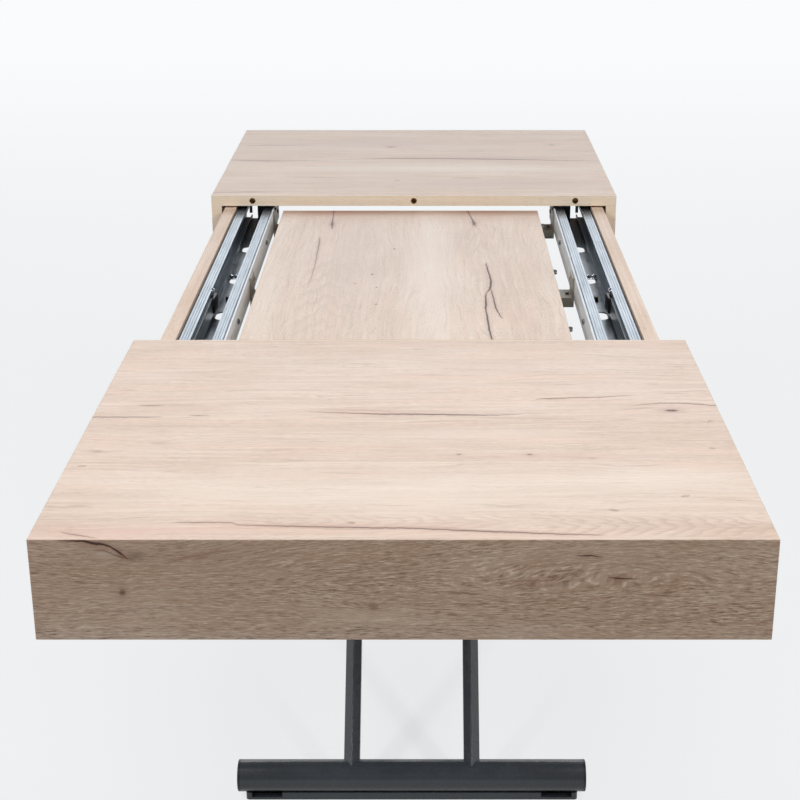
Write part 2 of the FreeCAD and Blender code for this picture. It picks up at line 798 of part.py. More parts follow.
def leaf_dots(base):
    """Felt dots under the upper leaf that keep it off the lower one."""
    across = LEAF_WIDTH - 2 * LEAF_DOT_INSET
    along = TABLE_WIDTH - 2 * LEAF_DOT_INSET
    return Part.makeCompound(
        [
            rod_z(LEAF_DOT_RADIUS, UPPER_LEAF_X + x, UPPER_LEAF_Y + y, (base - LEAF_DOT, base))
            for x in pitched(across, 2)
            for y in pitched(along, 2)
        ]
    )


def stored_leaves():
    """Nodes of both stored leaves, the lower one turned end for end."""
    upper = BAR_TOP + BOARD + LEAF_DOT
    nodes = stored_leaf("leaf_lower", (LOWER_LEAF_X, LOWER_LEAF_Y), BAR_TOP, -1)
    nodes.update(stored_leaf("leaf_upper", (UPPER_LEAF_X, UPPER_LEAF_Y), upper, 1))
    nodes["leaf_upper_dots"] = leaf_dots(upper)
    return nodes


def foot_tube():
    """Round front foot tube with the slots that its lugs pass through."""
    half = TUBE_LENGTH / 2
    tube = rod_x(TUBE_RADIUS, (-half, half), -FOOT_SPREAD, FOOT_AXIS)
    tube = tube.cut(rod_x(TUBE_RADIUS - TUBE_WALL, (-half, half), -FOOT_SPREAD, FOOT_AXIS))
    lug_half = math.asin((LUG_WIDTH / 2 + LUG_CLEAR) / (TUBE_RADIUS - TUBE_WALL))
    reach = 2 * TUBE_RADIUS
    first = -math.pi / 2 - lug_half
    last = -math.pi / 2 + lug_half + SWING
    fan = [(-FOOT_SPREAD, FOOT_AXIS)]
    for angle in (first, (first + last) / 2, last):
        fan.append((-FOOT_SPREAD + reach * math.cos(angle), FOOT_AXIS + reach * math.sin(angle)))
    slot_half = LUG_LENGTH / 2 + LUG_CLEAR
    slot = profile_along_x(fan, (LUG_AT - slot_half, LUG_AT + slot_half))
    return bored(tube, [slot, mirrored(slot, MIRROR_X)])


def foot_cap():
    """Black plug in the right end of the front foot tube."""
    end = TUBE_LENGTH / 2
    disc = rod_x(TUBE_RADIUS, (end, end + CAP), -FOOT_SPREAD, FOOT_AXIS)
    rim = [edge for edge in disc.Edges if edge.Closed and edge.CenterOfMass.x > end + CAP / 2]
    plug_radius = TUBE_RADIUS - TUBE_WALL - SET_CLEAR
    plug = rod_x(plug_radius, (end - CAP_PLUG, end), -FOOT_SPREAD, FOOT_AXIS)
    return fused([disc.makeFillet(CAP_EDGE, rim), plug])


def foot_glide():
    """Floor strip under the front foot, hollowed to clear the tube above it."""
    half = GLIDE_LENGTH / 2
    span = (-FOOT_SPREAD - GLIDE_WIDTH / 2, -FOOT_SPREAD + GLIDE_WIDTH / 2)
    strip = block((-half, half), span, (0, GLIDE_HEIGHT))
    corners = [edge for edge in strip.Edges if abs(edge.CenterOfMass.z - GLIDE_HEIGHT / 2) < SET_CLEAR]
    strip = strip.makeFillet(GLIDE_CORNER, corners)
    saddle = rod_x(TUBE_RADIUS + SADDLE_CLEAR, (-half, half), -FOOT_SPREAD, FOOT_AXIS)
    seat = lug_block((LUG_SEAT, FOOT_AXIS))
    return bored(strip, [saddle, seat, mirrored(seat, MIRROR_X)])


def lug_block(height):
    """Block in the place of the right lug of the front foot, between two heights."""
    length = (LUG_AT - LUG_LENGTH / 2, LUG_AT + LUG_LENGTH / 2)
    width = (-FOOT_SPREAD - LUG_WIDTH / 2, -FOOT_SPREAD + LUG_WIDTH / 2)
    return block(length, width, height)


def foot_spindle():
    """Fixed tube inside the front foot that the foot tube turns on."""
    half = SPINDLE_LENGTH / 2
    radius = TUBE_RADIUS - TUBE_WALL - SPINDLE_CLEAR
    spindle = rod_x(radius, (-half, half), -FOOT_SPREAD, FOOT_AXIS)
    return spindle.cut(rod_x(radius - SPINDLE_WALL, (-half, half), -FOOT_SPREAD, FOOT_AXIS))


def foot_lug():
    """Right lug that carries the front spindle on the floor strip."""
    radius = TUBE_RADIUS - TUBE_WALL - SPINDLE_CLEAR
    half = TUBE_LENGTH / 2
    return lug_block((LUG_SEAT, FOOT_AXIS)).cut(rod_x(radius, (-half, half), -FOOT_SPREAD, FOOT_AXIS))


def feet():
    """Nodes of both feet, the rear one a mirror of the front one."""
    front = {
        "foot_tube": foot_tube(),
        "end_caps": pair(foot_cap()),
        "foot_glide": foot_glide(),
        "foot_spindle": foot_spindle(),
        "foot_lugs": pair(foot_lug()),
    }
    nodes = {}
    for key, shape in front.items():
        nodes[f"front_{key}"] = shape
        nodes[f"rear_{key}"] = mirrored(shape, MIRROR_Y)
    return nodes


def lozenge(x, inset):
    """(x, n) outline of the arm section about its middle x, drawn in by inset all round."""
    half_width = ARM_WIDTH / 2
    slope = (ARM_DEPTH - ARM_FLAT) / 2 / half_width
    ridge = ARM_DEPTH / 2 - inset * math.hypot(1, slope)
    side = half_width - inset
    flat = ridge - slope * side
    return [
        (x, -ridge),
        (x + side, -flat),
        (x + side, flat),
        (x, ridge),
        (x - side, flat),
        (x - side, -flat),
    ]


def arm_prism(x, inset, start, end):
    """Straight length of a front arm between two distances up from its foot axis."""
    along = Vector(0, math.cos(LEAN_HIGH), math.sin(LEAN_HIGH))
    normal = Vector(0, -math.sin(LEAN_HIGH), math.cos(LEAN_HIGH))
    base = Vector(0, -FOOT_SPREAD, FOOT_AXIS) + along * start
    outline = [base + Vector(px, 0, 0) + normal * n for px, n in lozenge(x, inset)]
    return Part.Face(polygon(outline)).extrude(along * (end - start))


def scissor_arm(x, hub_bore, top_bore):
    """Hollow lozenge arm from the front foot tube up to its top boss."""
    length = ARM_LENGTH - ARM_END
    outside = arm_prism(x, 0, 0, length)
    run = outside.BoundBox.DiagonalLength / 2
    long_edges = [edge for edge in outside.Edges if edge.Length > run]
    outside = outside.makeFillet(ARM_EDGE, long_edges)
    hollow = arm_prism(x, ARM_WALL, 0, length - ARM_WALL)
    span = (x - ARM_WIDTH / 2, x + ARM_WIDTH / 2)
    top_boss = rod_x(BOSS_RADIUS, span, FOOT_SPREAD, PIVOT_HEIGHT)
    hub_boss = rod_x(BOSS_RADIUS, span, 0, HUB_HEIGHT)
    arm = fused([outside.cut(hollow), top_boss, hub_boss])
    return bored(
        arm,
        [
            rod_x(TUBE_RADIUS, span, -FOOT_SPREAD, FOOT_AXIS),
            rod_x(hub_bore, span, 0, HUB_HEIGHT),
            rod_x(top_bore, span, FOOT_SPREAD, PIVOT_HEIGHT),
        ],
    )


def scissor():
    """Nodes of the crossed arms and the shafts that join them."""
    fixed = SHAFT_RADIUS + SET_CLEAR
    turning = SHAFT_RADIUS + SHAFT_CLEAR
    front_arm = scissor_arm(OUTER_ARM_AT, fixed, fixed)
    rear_arm = mirrored(scissor_arm(INNER_ARM_AT, turning, turning), MIRROR_Y)
    nut_face = OUTER_ARM_AT + ARM_WIDTH / 2
    hub_half = nut_face + NUT
    nuts = [
        rod_x(NUT_RADIUS, span, 0, HUB_HEIGHT) for span in ((nut_face, hub_half), (-hub_half, -nut_face))
    ]
    hub = fused([rod_x(SHAFT_RADIUS, (-hub_half, hub_half), 0, HUB_HEIGHT)] + nuts)
    return {
        "front_arms": pair(front_arm),
        "rear_arms": pair(rear_arm),
        "hub_shaft": hub,
        "slider_axle": slider_axle(),
    }


def slider_axle():
    """Axle through the tops of the front arms, with a collar inside each roller."""
    reach = CHANNEL_BACK - CHANNEL_WALL - ROLLER_CLEAR
    arm_face = OUTER_ARM_AT + ARM_WIDTH / 2
    shaft = rod_x(SHAFT_RADIUS, (-reach, reach), FOOT_SPREAD, PIVOT_HEIGHT)
    collar_end = BUSH_INNER - 2 * ROLLER_CLEAR
    collar = rod_x(COLLAR_RADIUS, (arm_face, collar_end), FOOT_SPREAD, PIVOT_HEIGHT)
    return fused([shaft, collar, mirrored(collar, MIRROR_X)])


def slider_roller():
    """Right roller on the axle, running inside the lift channel."""
    span = (BUSH_INNER - ROLLER_CLEAR, CHANNEL_BACK - CHANNEL_WALL - 2 * ROLLER_CLEAR)
    tyre = rod_x(ROLLER_RADIUS, span, FOOT_SPREAD, PIVOT_HEIGHT)
    tyre = tyre.makeFillet(ROLLER_EDGE, [edge for edge in tyre.Edges if edge.Closed])
    return tyre.cut(rod_x(SHAFT_RADIUS + SHAFT_CLEAR, span, FOOT_SPREAD, PIVOT_HEIGHT))


def lift_channel():
    """Right channel under the cross bars, open towards the arms, bored for the pivot shaft."""
    low = PLATE_BOTTOM - CHANNEL_HEIGHT
    channel = profile_along_y(
        [
            (CHANNEL_MOUTH, low),
            (CHANNEL_BACK, low),
            (CHANNEL_BACK, PLATE_BOTTOM),
            (CHANNEL_MOUTH, PLATE_BOTTOM),
            (CHANNEL_MOUTH, PLATE_BOTTOM - CHANNEL_WALL),
            (CHANNEL_BACK - CHANNEL_WALL, PLATE_BOTTOM - CHANNEL_WALL),
            (CHANNEL_BACK - CHANNEL_WALL, low + CHANNEL_WALL),
            (CHANNEL_MOUTH, low + CHANNEL_WALL),
        ],
        (-CHANNEL_FRONT, CHANNEL_REAR),
    )
    return channel.cut(
        rod_x(SHAFT_RADIUS + SET_CLEAR, (CHANNEL_MOUTH, CHANNEL_BACK), -FOOT_SPREAD, PIVOT_HEIGHT)
    )


def lift_frame():
    """Nodes of the lift channels, the fixed pivot and the slider's rollers."""
    low = PLATE_BOTTOM - CHANNEL_HEIGHT + CHANNEL_WALL
    end_stop = block(
        (CHANNEL_MOUTH, CHANNEL_BACK - CHANNEL_WALL),
        (CHANNEL_STOP_AT, CHANNEL_REAR),
        (low, PLATE_BOTTOM - CHANNEL_WALL),
    )
    bush_span = (BUSH_INNER, CHANNEL_BACK - CHANNEL_WALL)
    bush = rod_x(BUSH_RADIUS, bush_span, -FOOT_SPREAD, PIVOT_HEIGHT)
    bush = bush.cut(rod_x(SHAFT_RADIUS + SET_CLEAR, bush_span, -FOOT_SPREAD, PIVOT_HEIGHT))
    shaft_half = CHANNEL_BACK + SHAFT_END
    return {
        "lift_channels": pair(lift_channel()),
        "channel_end_stops": pair(end_stop),
        "pivot_bushes": pair(bush),
        "pivot_shaft": rod_x(SHAFT_RADIUS, (-shaft_half, shaft_half), -FOOT_SPREAD, PIVOT_HEIGHT),
        "slider_rollers": pair(slider_roller()),
    }


def link(start, end, radius, x):
    """Flat link in the YZ plane with round ends about the two (y, z) points."""
    along = Vector(0, end[0] - start[0], end[1] - start[1])
    normal = Vector(1, 0, 0).cross(along).normalize() * radius
    base = Vector(x[0], start[0], start[1])
    web = Part.Face(polygon([base + normal, base + along + normal, base + along - normal, base - normal]))
    return fused(
        [
            web.extrude(Vector(x[1] - x[0], 0, 0)),
            rod_x(radius, x, start[0], start[1]),
            rod_x(radius, x, end[0], end[1]),
        ]
    )


def cheek_spans():
    """Spans along X of the four cheeks that hold the two spring eyes."""
    near = EYE_WIDTH / 2 + CHEEK_GAP
    spans = []
    for middle in (-SPRING_AT, SPRING_AT):
        spans.append((middle - near - CHEEK, middle - near))
        spans.append((middle + near, middle + near + CHEEK))
    return spans


def cheek_pins(y, z):
    """Pins across both pairs of cheeks."""
    half = EYE_WIDTH / 2 + CHEEK_GAP + CHEEK
    return [rod_x(PIN_RADIUS, (middle - half, middle + half), y, z) for middle in (-SPRING_AT, SPRING_AT)]


def spring_lever():
    """Sleeve between the rear arms on the pivot shaft, with a cheeked lever for each spring."""
    half = INNER_ARM_AT - ARM_WIDTH / 2
    pivot = (-FOOT_SPREAD, PIVOT_HEIGHT)
    eye = (EYE_Y, EYE_HIGH)
    sleeve = rod_x(SLEEVE_RADIUS, (-half, half), pivot[0], pivot[1])
    cheeks = [link(pivot, eye, EYE_RADIUS, span) for span in cheek_spans()]
    lever = fused([sleeve] + cheeks + cheek_pins(eye[0], eye[1]))
    return lever.cut(rod_x(SHAFT_RADIUS + SHAFT_CLEAR, (-half, half), pivot[0], pivot[1]))


def spring_rod():
    """Right rod with its piston inside the cylinder and a slotted eye on the lever pin."""
    eye_span = (SPRING_AT - EYE_WIDTH / 2, SPRING_AT + EYE_WIDTH / 2)
    slot = PIN_RADIUS + PIN_CLEAR
    eye_radius = EYE_RADIUS + EYE_SLOT
    rod_start = EYE_Y + EYE_RADIUS + ROD_GAP
    piston_start = CYLINDER_FRONT + SPRING_CAP + PISTON
    rod = rod_y(ROD_RADIUS, SPRING_AT, (rod_start, piston_start + PISTON), SPRING_AXIS)
    neck = block(
        eye_span, (EYE_Y, rod_start + ROD_GAP), (SPRING_AXIS - ROD_RADIUS, SPRING_AXIS + ROD_RADIUS)
    )
    piston_radius = SPRING_RADIUS - SPRING_WALL - PIN_CLEAR
    piston = rod_y(piston_radius, SPRING_AT, (piston_start, piston_start + PISTON), SPRING_AXIS)
    eye = rod_x(eye_radius, eye_span, EYE_Y, SPRING_AXIS)
    pocket = fused(
        [
            rod_x(slot, eye_span, EYE_Y, SPRING_AXIS - EYE_SLOT),
            rod_x(slot, eye_span, EYE_Y, SPRING_AXIS + EYE_SLOT),
            block(eye_span, (EYE_Y - slot, EYE_Y + slot), (SPRING_AXIS - EYE_SLOT, SPRING_AXIS + EYE_SLOT)),
        ]
    )
    return fused([eye, neck, rod, piston]).cut(pocket)


def spring_cylinder():
    """Right cylinder with a cap round its rod and a fixed eye on the anchor pin."""
    wall = SPRING_RADIUS - SPRING_WALL
    bore = (CYLINDER_FRONT + SPRING_CAP, CYLINDER_REAR - SPRING_CAP)
    eye_span = (SPRING_AT - EYE_WIDTH / 2, SPRING_AT + EYE_WIDTH / 2)
    shell = rod_y(SPRING_RADIUS, SPRING_AT, (CYLINDER_FRONT, CYLINDER_REAR), SPRING_AXIS)
    tail = block(
        eye_span,
        (CYLINDER_REAR, ANCHOR_Y),
        (SPRING_AXIS - EYE_RADIUS, SPRING_AXIS + EYE_RADIUS),
    )
    eye = rod_x(EYE_RADIUS, eye_span, ANCHOR_Y, SPRING_AXIS)
    return bored(
        fused([shell, tail, eye]),
        [
            rod_y(wall, SPRING_AT, bore, SPRING_AXIS),
            rod_y(ROD_RADIUS + ROD_CLEAR, SPRING_AT, (CYLINDER_FRONT, bore[0]), SPRING_AXIS),
            rod_x(PIN_RADIUS + SET_CLEAR, eye_span, ANCHOR_Y, SPRING_AXIS),
        ],
    )


def spring_anchor():
    """Bracket that hangs from the middle cross bar and holds the rear eyes of both springs."""
    spans = cheek_spans()
    web = block(
        (spans[0][0], spans[-1][1]),
        (BAR_WIDTH / 2 - ANCHOR_WEB, BAR_WIDTH / 2),
        (SPRING_AXIS - EYE_RADIUS, PLATE_BOTTOM),
    )
    shelf = block(
        (spans[0][0], spans[-1][1]),
        (-BAR_WIDTH / 2, BAR_WIDTH / 2),
        (PLATE_BOTTOM - ANCHOR_WEB, PLATE_BOTTOM),
    )
    cheeks = [
        link((ANCHOR_Y, SPRING_AXIS), (BAR_WIDTH / 2 - ANCHOR_WEB, SPRING_AXIS), EYE_RADIUS, span).common(
            block(span, (ANCHOR_Y - EYE_RADIUS, BAR_WIDTH / 2), (0, PLATE_BOTTOM))
        )
        for span in spans
    ]
    return fused([web, shelf] + cheeks + cheek_pins(ANCHOR_Y, SPRING_AXIS))


def gas_springs():
    """Nodes of the two gas springs and what they act between."""
    return {
        "spring_lever": spring_lever(),
        "gas_spring_rods": pair(spring_rod()),
        "gas_spring_cylinders": pair(spring_cylinder()),
        "gas_spring_anchor": spring_anchor(),
    }


def main():
    """Build every node and write it to its own file."""
    os.makedirs("parts", exist_ok=True)
    sections = (
        table_halves(),
        side_units(),
        cross_bars(),
        stored_leaves(),
        feet(),
        scissor(),
        lift_frame(),
        gas_springs(),
    )
    for section in sections:
        for name, shape in section.items():
            shape.exportStep(f"parts/{name}.step")
    print(f"lift swing {math.degrees(SWING):.3f} degrees, slider travel {SLIDER_LOW - FOOT_SPREAD:.2f} mm")
    print(f"pivot height {PIVOT_HEIGHT:.2f}, hub height {HUB_HEIGHT:.2f}, well {WELL:.2f}")
    print(f"spring eye travel {2 * LEVER * math.sin(LEVER_ANGLE):.3f} mm at height {SPRING_AXIS:.2f}")


main()
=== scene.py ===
"""Extending coffee and dining table, raised and drawn open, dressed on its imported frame."""

import logging
import math
from abc import ABC, abstractmethod
from dataclasses import dataclass
from enum import Enum
from functools import lru_cache
from typing import Any, Callable, Iterable, Mapping, Sequence

import bmesh
import bpy
from mathutils import Matrix, Vector


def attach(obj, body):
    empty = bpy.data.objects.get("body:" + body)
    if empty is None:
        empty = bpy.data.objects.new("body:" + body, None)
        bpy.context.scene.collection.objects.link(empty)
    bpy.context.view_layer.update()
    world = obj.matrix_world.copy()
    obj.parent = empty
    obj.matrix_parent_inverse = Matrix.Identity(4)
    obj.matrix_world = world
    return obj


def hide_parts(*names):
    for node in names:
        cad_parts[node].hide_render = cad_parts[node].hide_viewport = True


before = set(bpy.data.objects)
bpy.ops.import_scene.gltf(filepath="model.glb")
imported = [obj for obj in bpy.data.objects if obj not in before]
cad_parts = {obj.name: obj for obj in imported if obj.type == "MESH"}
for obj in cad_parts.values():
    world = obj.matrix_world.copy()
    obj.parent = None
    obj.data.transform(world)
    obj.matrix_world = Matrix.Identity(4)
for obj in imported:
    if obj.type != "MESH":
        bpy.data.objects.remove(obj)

LOG = logging.getLogger("table")
MM = 0.001
WELD = 1e-6
SMOOTH_BELOW = math.radians(35.0)
SEED_SHIFT = (1.0, 1.7, 0.6)
Pair = tuple[float, float]
Triple = tuple[float, float, float]
Colour = tuple[float, float, float, float]
Stroke = tuple[Triple, ...]
Profile = Sequence[Pair]
BMesh = bmesh.types.BMesh


def shade(red: int, green: int, blue: int) -> Colour:
    """Linear colour of a shade written in display values.

    Args:
        red: Red from 0 to 255.
        green: Green from 0 to 255.
        blue: Blue from 0 to 255.

    Returns:
        The linear colour with full cover.
    """
    linear = []
    for value in (red, green, blue):
        share = value / 255
        linear.append(share / 12.92 if share < 0.04045 else ((share + 0.055) / 1.055) ** 2.4)
    return (linear[0], linear[1], linear[2], 1.0)


class Signal:
    """One shader socket that reads as a number in Python expressions."""

    def __init__(self, graph: "Graph", socket: bpy.types.NodeSocket) -> None:
        """Keep the socket and the graph it belongs to."""
        self.graph = graph
        self.socket = socket

    def __add__(self, other: "Signal | float") -> "Signal":
        """This value plus another."""
        return self.graph.math("ADD", self, other)

    def __radd__(self, other: float) -> "Signal":
        """A number plus this value."""
        return self.graph.math("ADD", other, self)

    def __sub__(self, other: "Signal | float") -> "Signal":
        """This value less another."""
        return self.graph.math("SUBTRACT", self, other)

    def __rsub__(self, other: float) -> "Signal":
        """A number less this value."""
        return self.graph.math("SUBTRACT", other, self)

    def __mul__(self, other: "Signal | float") -> "Signal":
        """This value times another."""
        return self.graph.math("MULTIPLY", self, other)

    def __rmul__(self, other: float) -> "Signal":
        """A number times this value."""
        return self.graph.math("MULTIPLY", other, self)

    def __truediv__(self, other: "Signal | float") -> "Signal":
        """This value divided by another."""
        return self.graph.math("DIVIDE", self, other)

    def __abs__(self) -> "Signal":
        """This value without its sign."""
        return self.graph.math("ABSOLUTE", self)

    def fraction(self) -> "Signal":
        """What is left of this value past a whole number."""
        return self.graph.math("FRACT", self)

    def decay(self) -> "Signal":
        """One at zero, falling off as this value grows."""
        return self.graph.math("EXPONENT", self * -1.0)

    def greater(self, other: "Signal | float") -> "Signal":
        """The larger of this value and another."""
        return self.graph.math("MAXIMUM", self, other)

    def lesser(self, other: "Signal | float") -> "Signal":
        """The smaller of this value and another."""
        return self.graph.math("MINIMUM", self, other)

    def ease(self, none: float, full: float) -> "Signal":
        """Smooth share of this value, zero at none and one at full."""
        inputs = {"Value": self, "From Min": none, "From Max": full}
        return self.graph.signal("ShaderNodeMapRange", {"interpolation_type": "SMOOTHSTEP"}, inputs)


class Graph:
    """Node tree under construction."""

    def __init__(self, tree: bpy.types.NodeTree) -> None:
        """Start on an emptied tree."""
        self.tree = tree
        self.tree.nodes.clear()

    def node(
        self, kind: str, settings: Mapping[str, Any] | None = None, inputs: Mapping[Any, Any] | None = None
    ) -> bpy.types.Node:
        """Add one node.

        Args:
            kind: Type of the node.
            settings: Settings that are set first, such as an operation or the points of a curve.
            inputs: Values or signals of its sockets, by name or place.

        Returns:
            The node.
        """
        made = self.tree.nodes.new(kind)
        for key, value in (settings or {}).items():
            if key == "points":
                self.fill_curve(made.mapping, value)
            else:
                setattr(made, key, value)
        for key, value in (inputs or {}).items():
            if isinstance(value, Signal):
                self.tree.links.new(value.socket, made.inputs[key])
            else:
                made.inputs[key].default_value = value
        return made

    @staticmethod
    def fill_curve(mapping: bpy.types.CurveMapping, points: Profile) -> None:
        """Give a curve node straight runs through points.

        Args:
            mapping: Mapping of the node.
            points: Places on the curve in rising order, each from zero to one.
        """
        curve = mapping.curves[0]
        curve.points[0].location = points[0]
        curve.points[1].location = points[-1]
        for place in points[1:-1]:
            curve.points.new(*place)
        for point in curve.points:
            point.handle_type = "VECTOR"
        mapping.update()

    def signal(
        self,
        kind: str,
        settings: Mapping[str, Any] | None = None,
        inputs: Mapping[Any, Any] | None = None,
        output: int | str = 0,
    ) -> Signal:
        """Add one node and take one of its outputs, by name or place."""
        return Signal(self, self.node(kind, settings, inputs).outputs[output])

    def math(self, operation: str, *terms: Signal | float) -> Signal:
        """One Math node on its terms."""
        return self.signal("ShaderNodeMath", {"operation": operation}, dict(enumerate(terms)))

    def vector(self, operation: str, *terms: Any, output: int = 0) -> Signal:
        """One Vector Math node on its terms."""
        return self.signal("ShaderNodeVectorMath", {"operation": operation}, dict(enumerate(terms)), output)

    def mix(self, share: Signal | float, first: Signal | Colour, second: Signal | Colour) -> Signal:
        """Colour between two others, at a share from the first to the second."""
        return self.signal("ShaderNodeMix", {"data_type": "RGBA"}, {0: share, 6: first, 7: second}, 2)

    def combine(self, along: Signal | float, across: Signal | float, depth: Signal | float) -> Signal:
        """Vector of three values."""
        return self.signal("ShaderNodeCombineXYZ", None, {0: along, 1: across, 2: depth})

    def split(self, vector: Signal, axes: Sequence[str]) -> list[Signal]:
        """Parts of a vector along the axes that are named."""
        parts = self.node("ShaderNodeSeparateXYZ", None, {0: vector})
        return [Signal(self, parts.outputs[axis]) for axis in axes]

    def place(self) -> Signal:
        """Place on the piece in millimetres."""
        own = self.signal("ShaderNodeTexCoord", None, None, "Object")
        return self.vector("MULTIPLY", own, (1 / MM, 1 / MM, 1 / MM))

    def noise(
        self, place: Signal, size: Sequence[float], seed: float, detail: float = 2.0, rough: float = 0.5
    ) -> Signal:
        """Cloudy value about a half.

        Args:
            place: Place in millimetres.
            size: Size of a cloud along each axis, in millimetres.
            seed: Shift that makes each surface its own.
            detail: Number of finer layers.
            rough: Weight of the finer layers.

        Returns:
            The value, mostly from 0.3 to 0.7.
        """
        shift = [part * seed for part in SEED_SHIFT]
        at = self.vector("MULTIPLY_ADD", place, [1 / length for length in size], shift)
        inputs = {"Vector": at, "Scale": 1.0, "Detail": detail, "Roughness": rough}
        return self.signal("ShaderNodeTexNoise", None, inputs)

    def curve(self, share: Signal, points: Profile) -> Signal:
        """Value read off a curve through points."""
        return self.signal("ShaderNodeFloatCurve", {"points": points}, {"Value": share})

    def finish(self, inputs: Mapping[str, Any], height: Signal, strength: float, depth: float) -> None:
        """End the tree in one surface with a relief.

        Args:
            inputs: Values or signals of the surface's sockets.
            height: Relief of the surface, from zero to one.
            strength: How much of the relief shows.
            depth: Height of the relief in millimetres.
        """
        relief = {"Strength": strength, "Distance": depth * MM, "Height": height}
        normal = self.signal("ShaderNodeBump", None, relief)
        surface = self.signal("ShaderNodeBsdfPrincipled", None, {**inputs, "Normal": normal})
        self.node("ShaderNodeOutputMaterial", None, {"Surface": surface})


@dataclass(frozen=True)
class Finish(ABC):
    """How one kind of surface looks."""

    name: str

    @abstractmethod
    def paint(self, graph: Graph) -> None:
        """Build the finish on an empty graph."""


@lru_cache(maxsize=None)
def material_of(finish: Finish) -> bpy.types.Material:
    """Material of a finish, made once.

    Args:
        finish: The finish.

    Returns:
        Its material.
    """
    material = bpy.data.materials.new(finish.name)
    material.use_nodes = True
    finish.paint(Graph(material.node_tree))
    return material


class GrainRun(Enum):
    """Which axes run along, across and into the grain of a board."""

    ACROSS_TABLE = ("X", "Y", "Z")
    ALONG_TABLE = ("Y", "X", "Z")
    END_FACE = ("X", "Z", "Y")
    SIDE_FACE = ("Y", "Z", "X")

    def axes(self, graph: Graph) -> list[Signal]:
        """Places of a point along, across and into the grain, in millimetres."""
        return graph.split(graph.place(), self.value)


@dataclass(frozen=True)
class CrackRow:
    """Cracks one after another along a board, each a run of (along, across, half width) in mm."""

    strokes: tuple[Stroke, ...]
    darkness: float = 1.0
    halo: float = 0.5
    widest: float = 4.0

    def places(self, low: Sequence[float], high: Sequence[float]) -> list[Triple]:
        """Every point as shares of the board and of the widest crack.

        Args:
            low: Lowest corner of the board, along and across.
            high: Highest corner of the board.

        Returns:
            Shares along, across and of the width, in order along the board.
        """
        points = sorted(point for stroke in self.strokes for point in stroke)
        return [
            (
                (along - low[0]) / (high[0] - low[0]),
                (across - low[1]) / (high[1] - low[1]),
                width / self.widest,
            )
            for along, across, width in points
        ]


@dataclass(frozen=True)
class Patch:
    """Oval place on a board, in mm."""

    along: float
    across: float
    length: float
    width: float

    def spread(self, graph: Graph, plane: Signal, wide: float = 1.0) -> Signal:
        """Squared distance from the middle, one at the edge of the oval times wide.

        Args:
            graph: Graph of the board.
            plane: Place on the board, along and across.
            wide: How many times the oval's size counts as one.

        Returns:
            The squared distance.
        """
        scale = (2 / (self.length * wide), 2 / (self.width * wide), 0.0)
        shift = (-self.along * scale[0], -self.across * scale[1], 0.0)
        off = graph.vector("MULTIPLY_ADD", plane, scale, shift)
        return graph.vector("DOT_PRODUCT", off, off, output=1)


@dataclass(frozen=True)
class Swell(Patch):
    """Place that the grain rises round, with its lift in mm."""

    lift: float


@dataclass(frozen=True)
class Knot(Swell):
    """Knot that the grain rises round."""

    darkness: float


@dataclass(frozen=True)
class Stain(Patch):
    """Soft patch of another shade."""

    colour: Colour
    strength: float


@dataclass(frozen=True)
class Cathedral(Patch):
    """Nested arches in the grain about a middle line, with their pitch in mm."""

    pitch: float
    strength: float
    bow: float


@dataclass(frozen=True)
class Seam:
    """Line where two planks of the board meet, with the change of tone past it."""

    across: float
    tilt: float
    tone: float
    line: float = 0.7


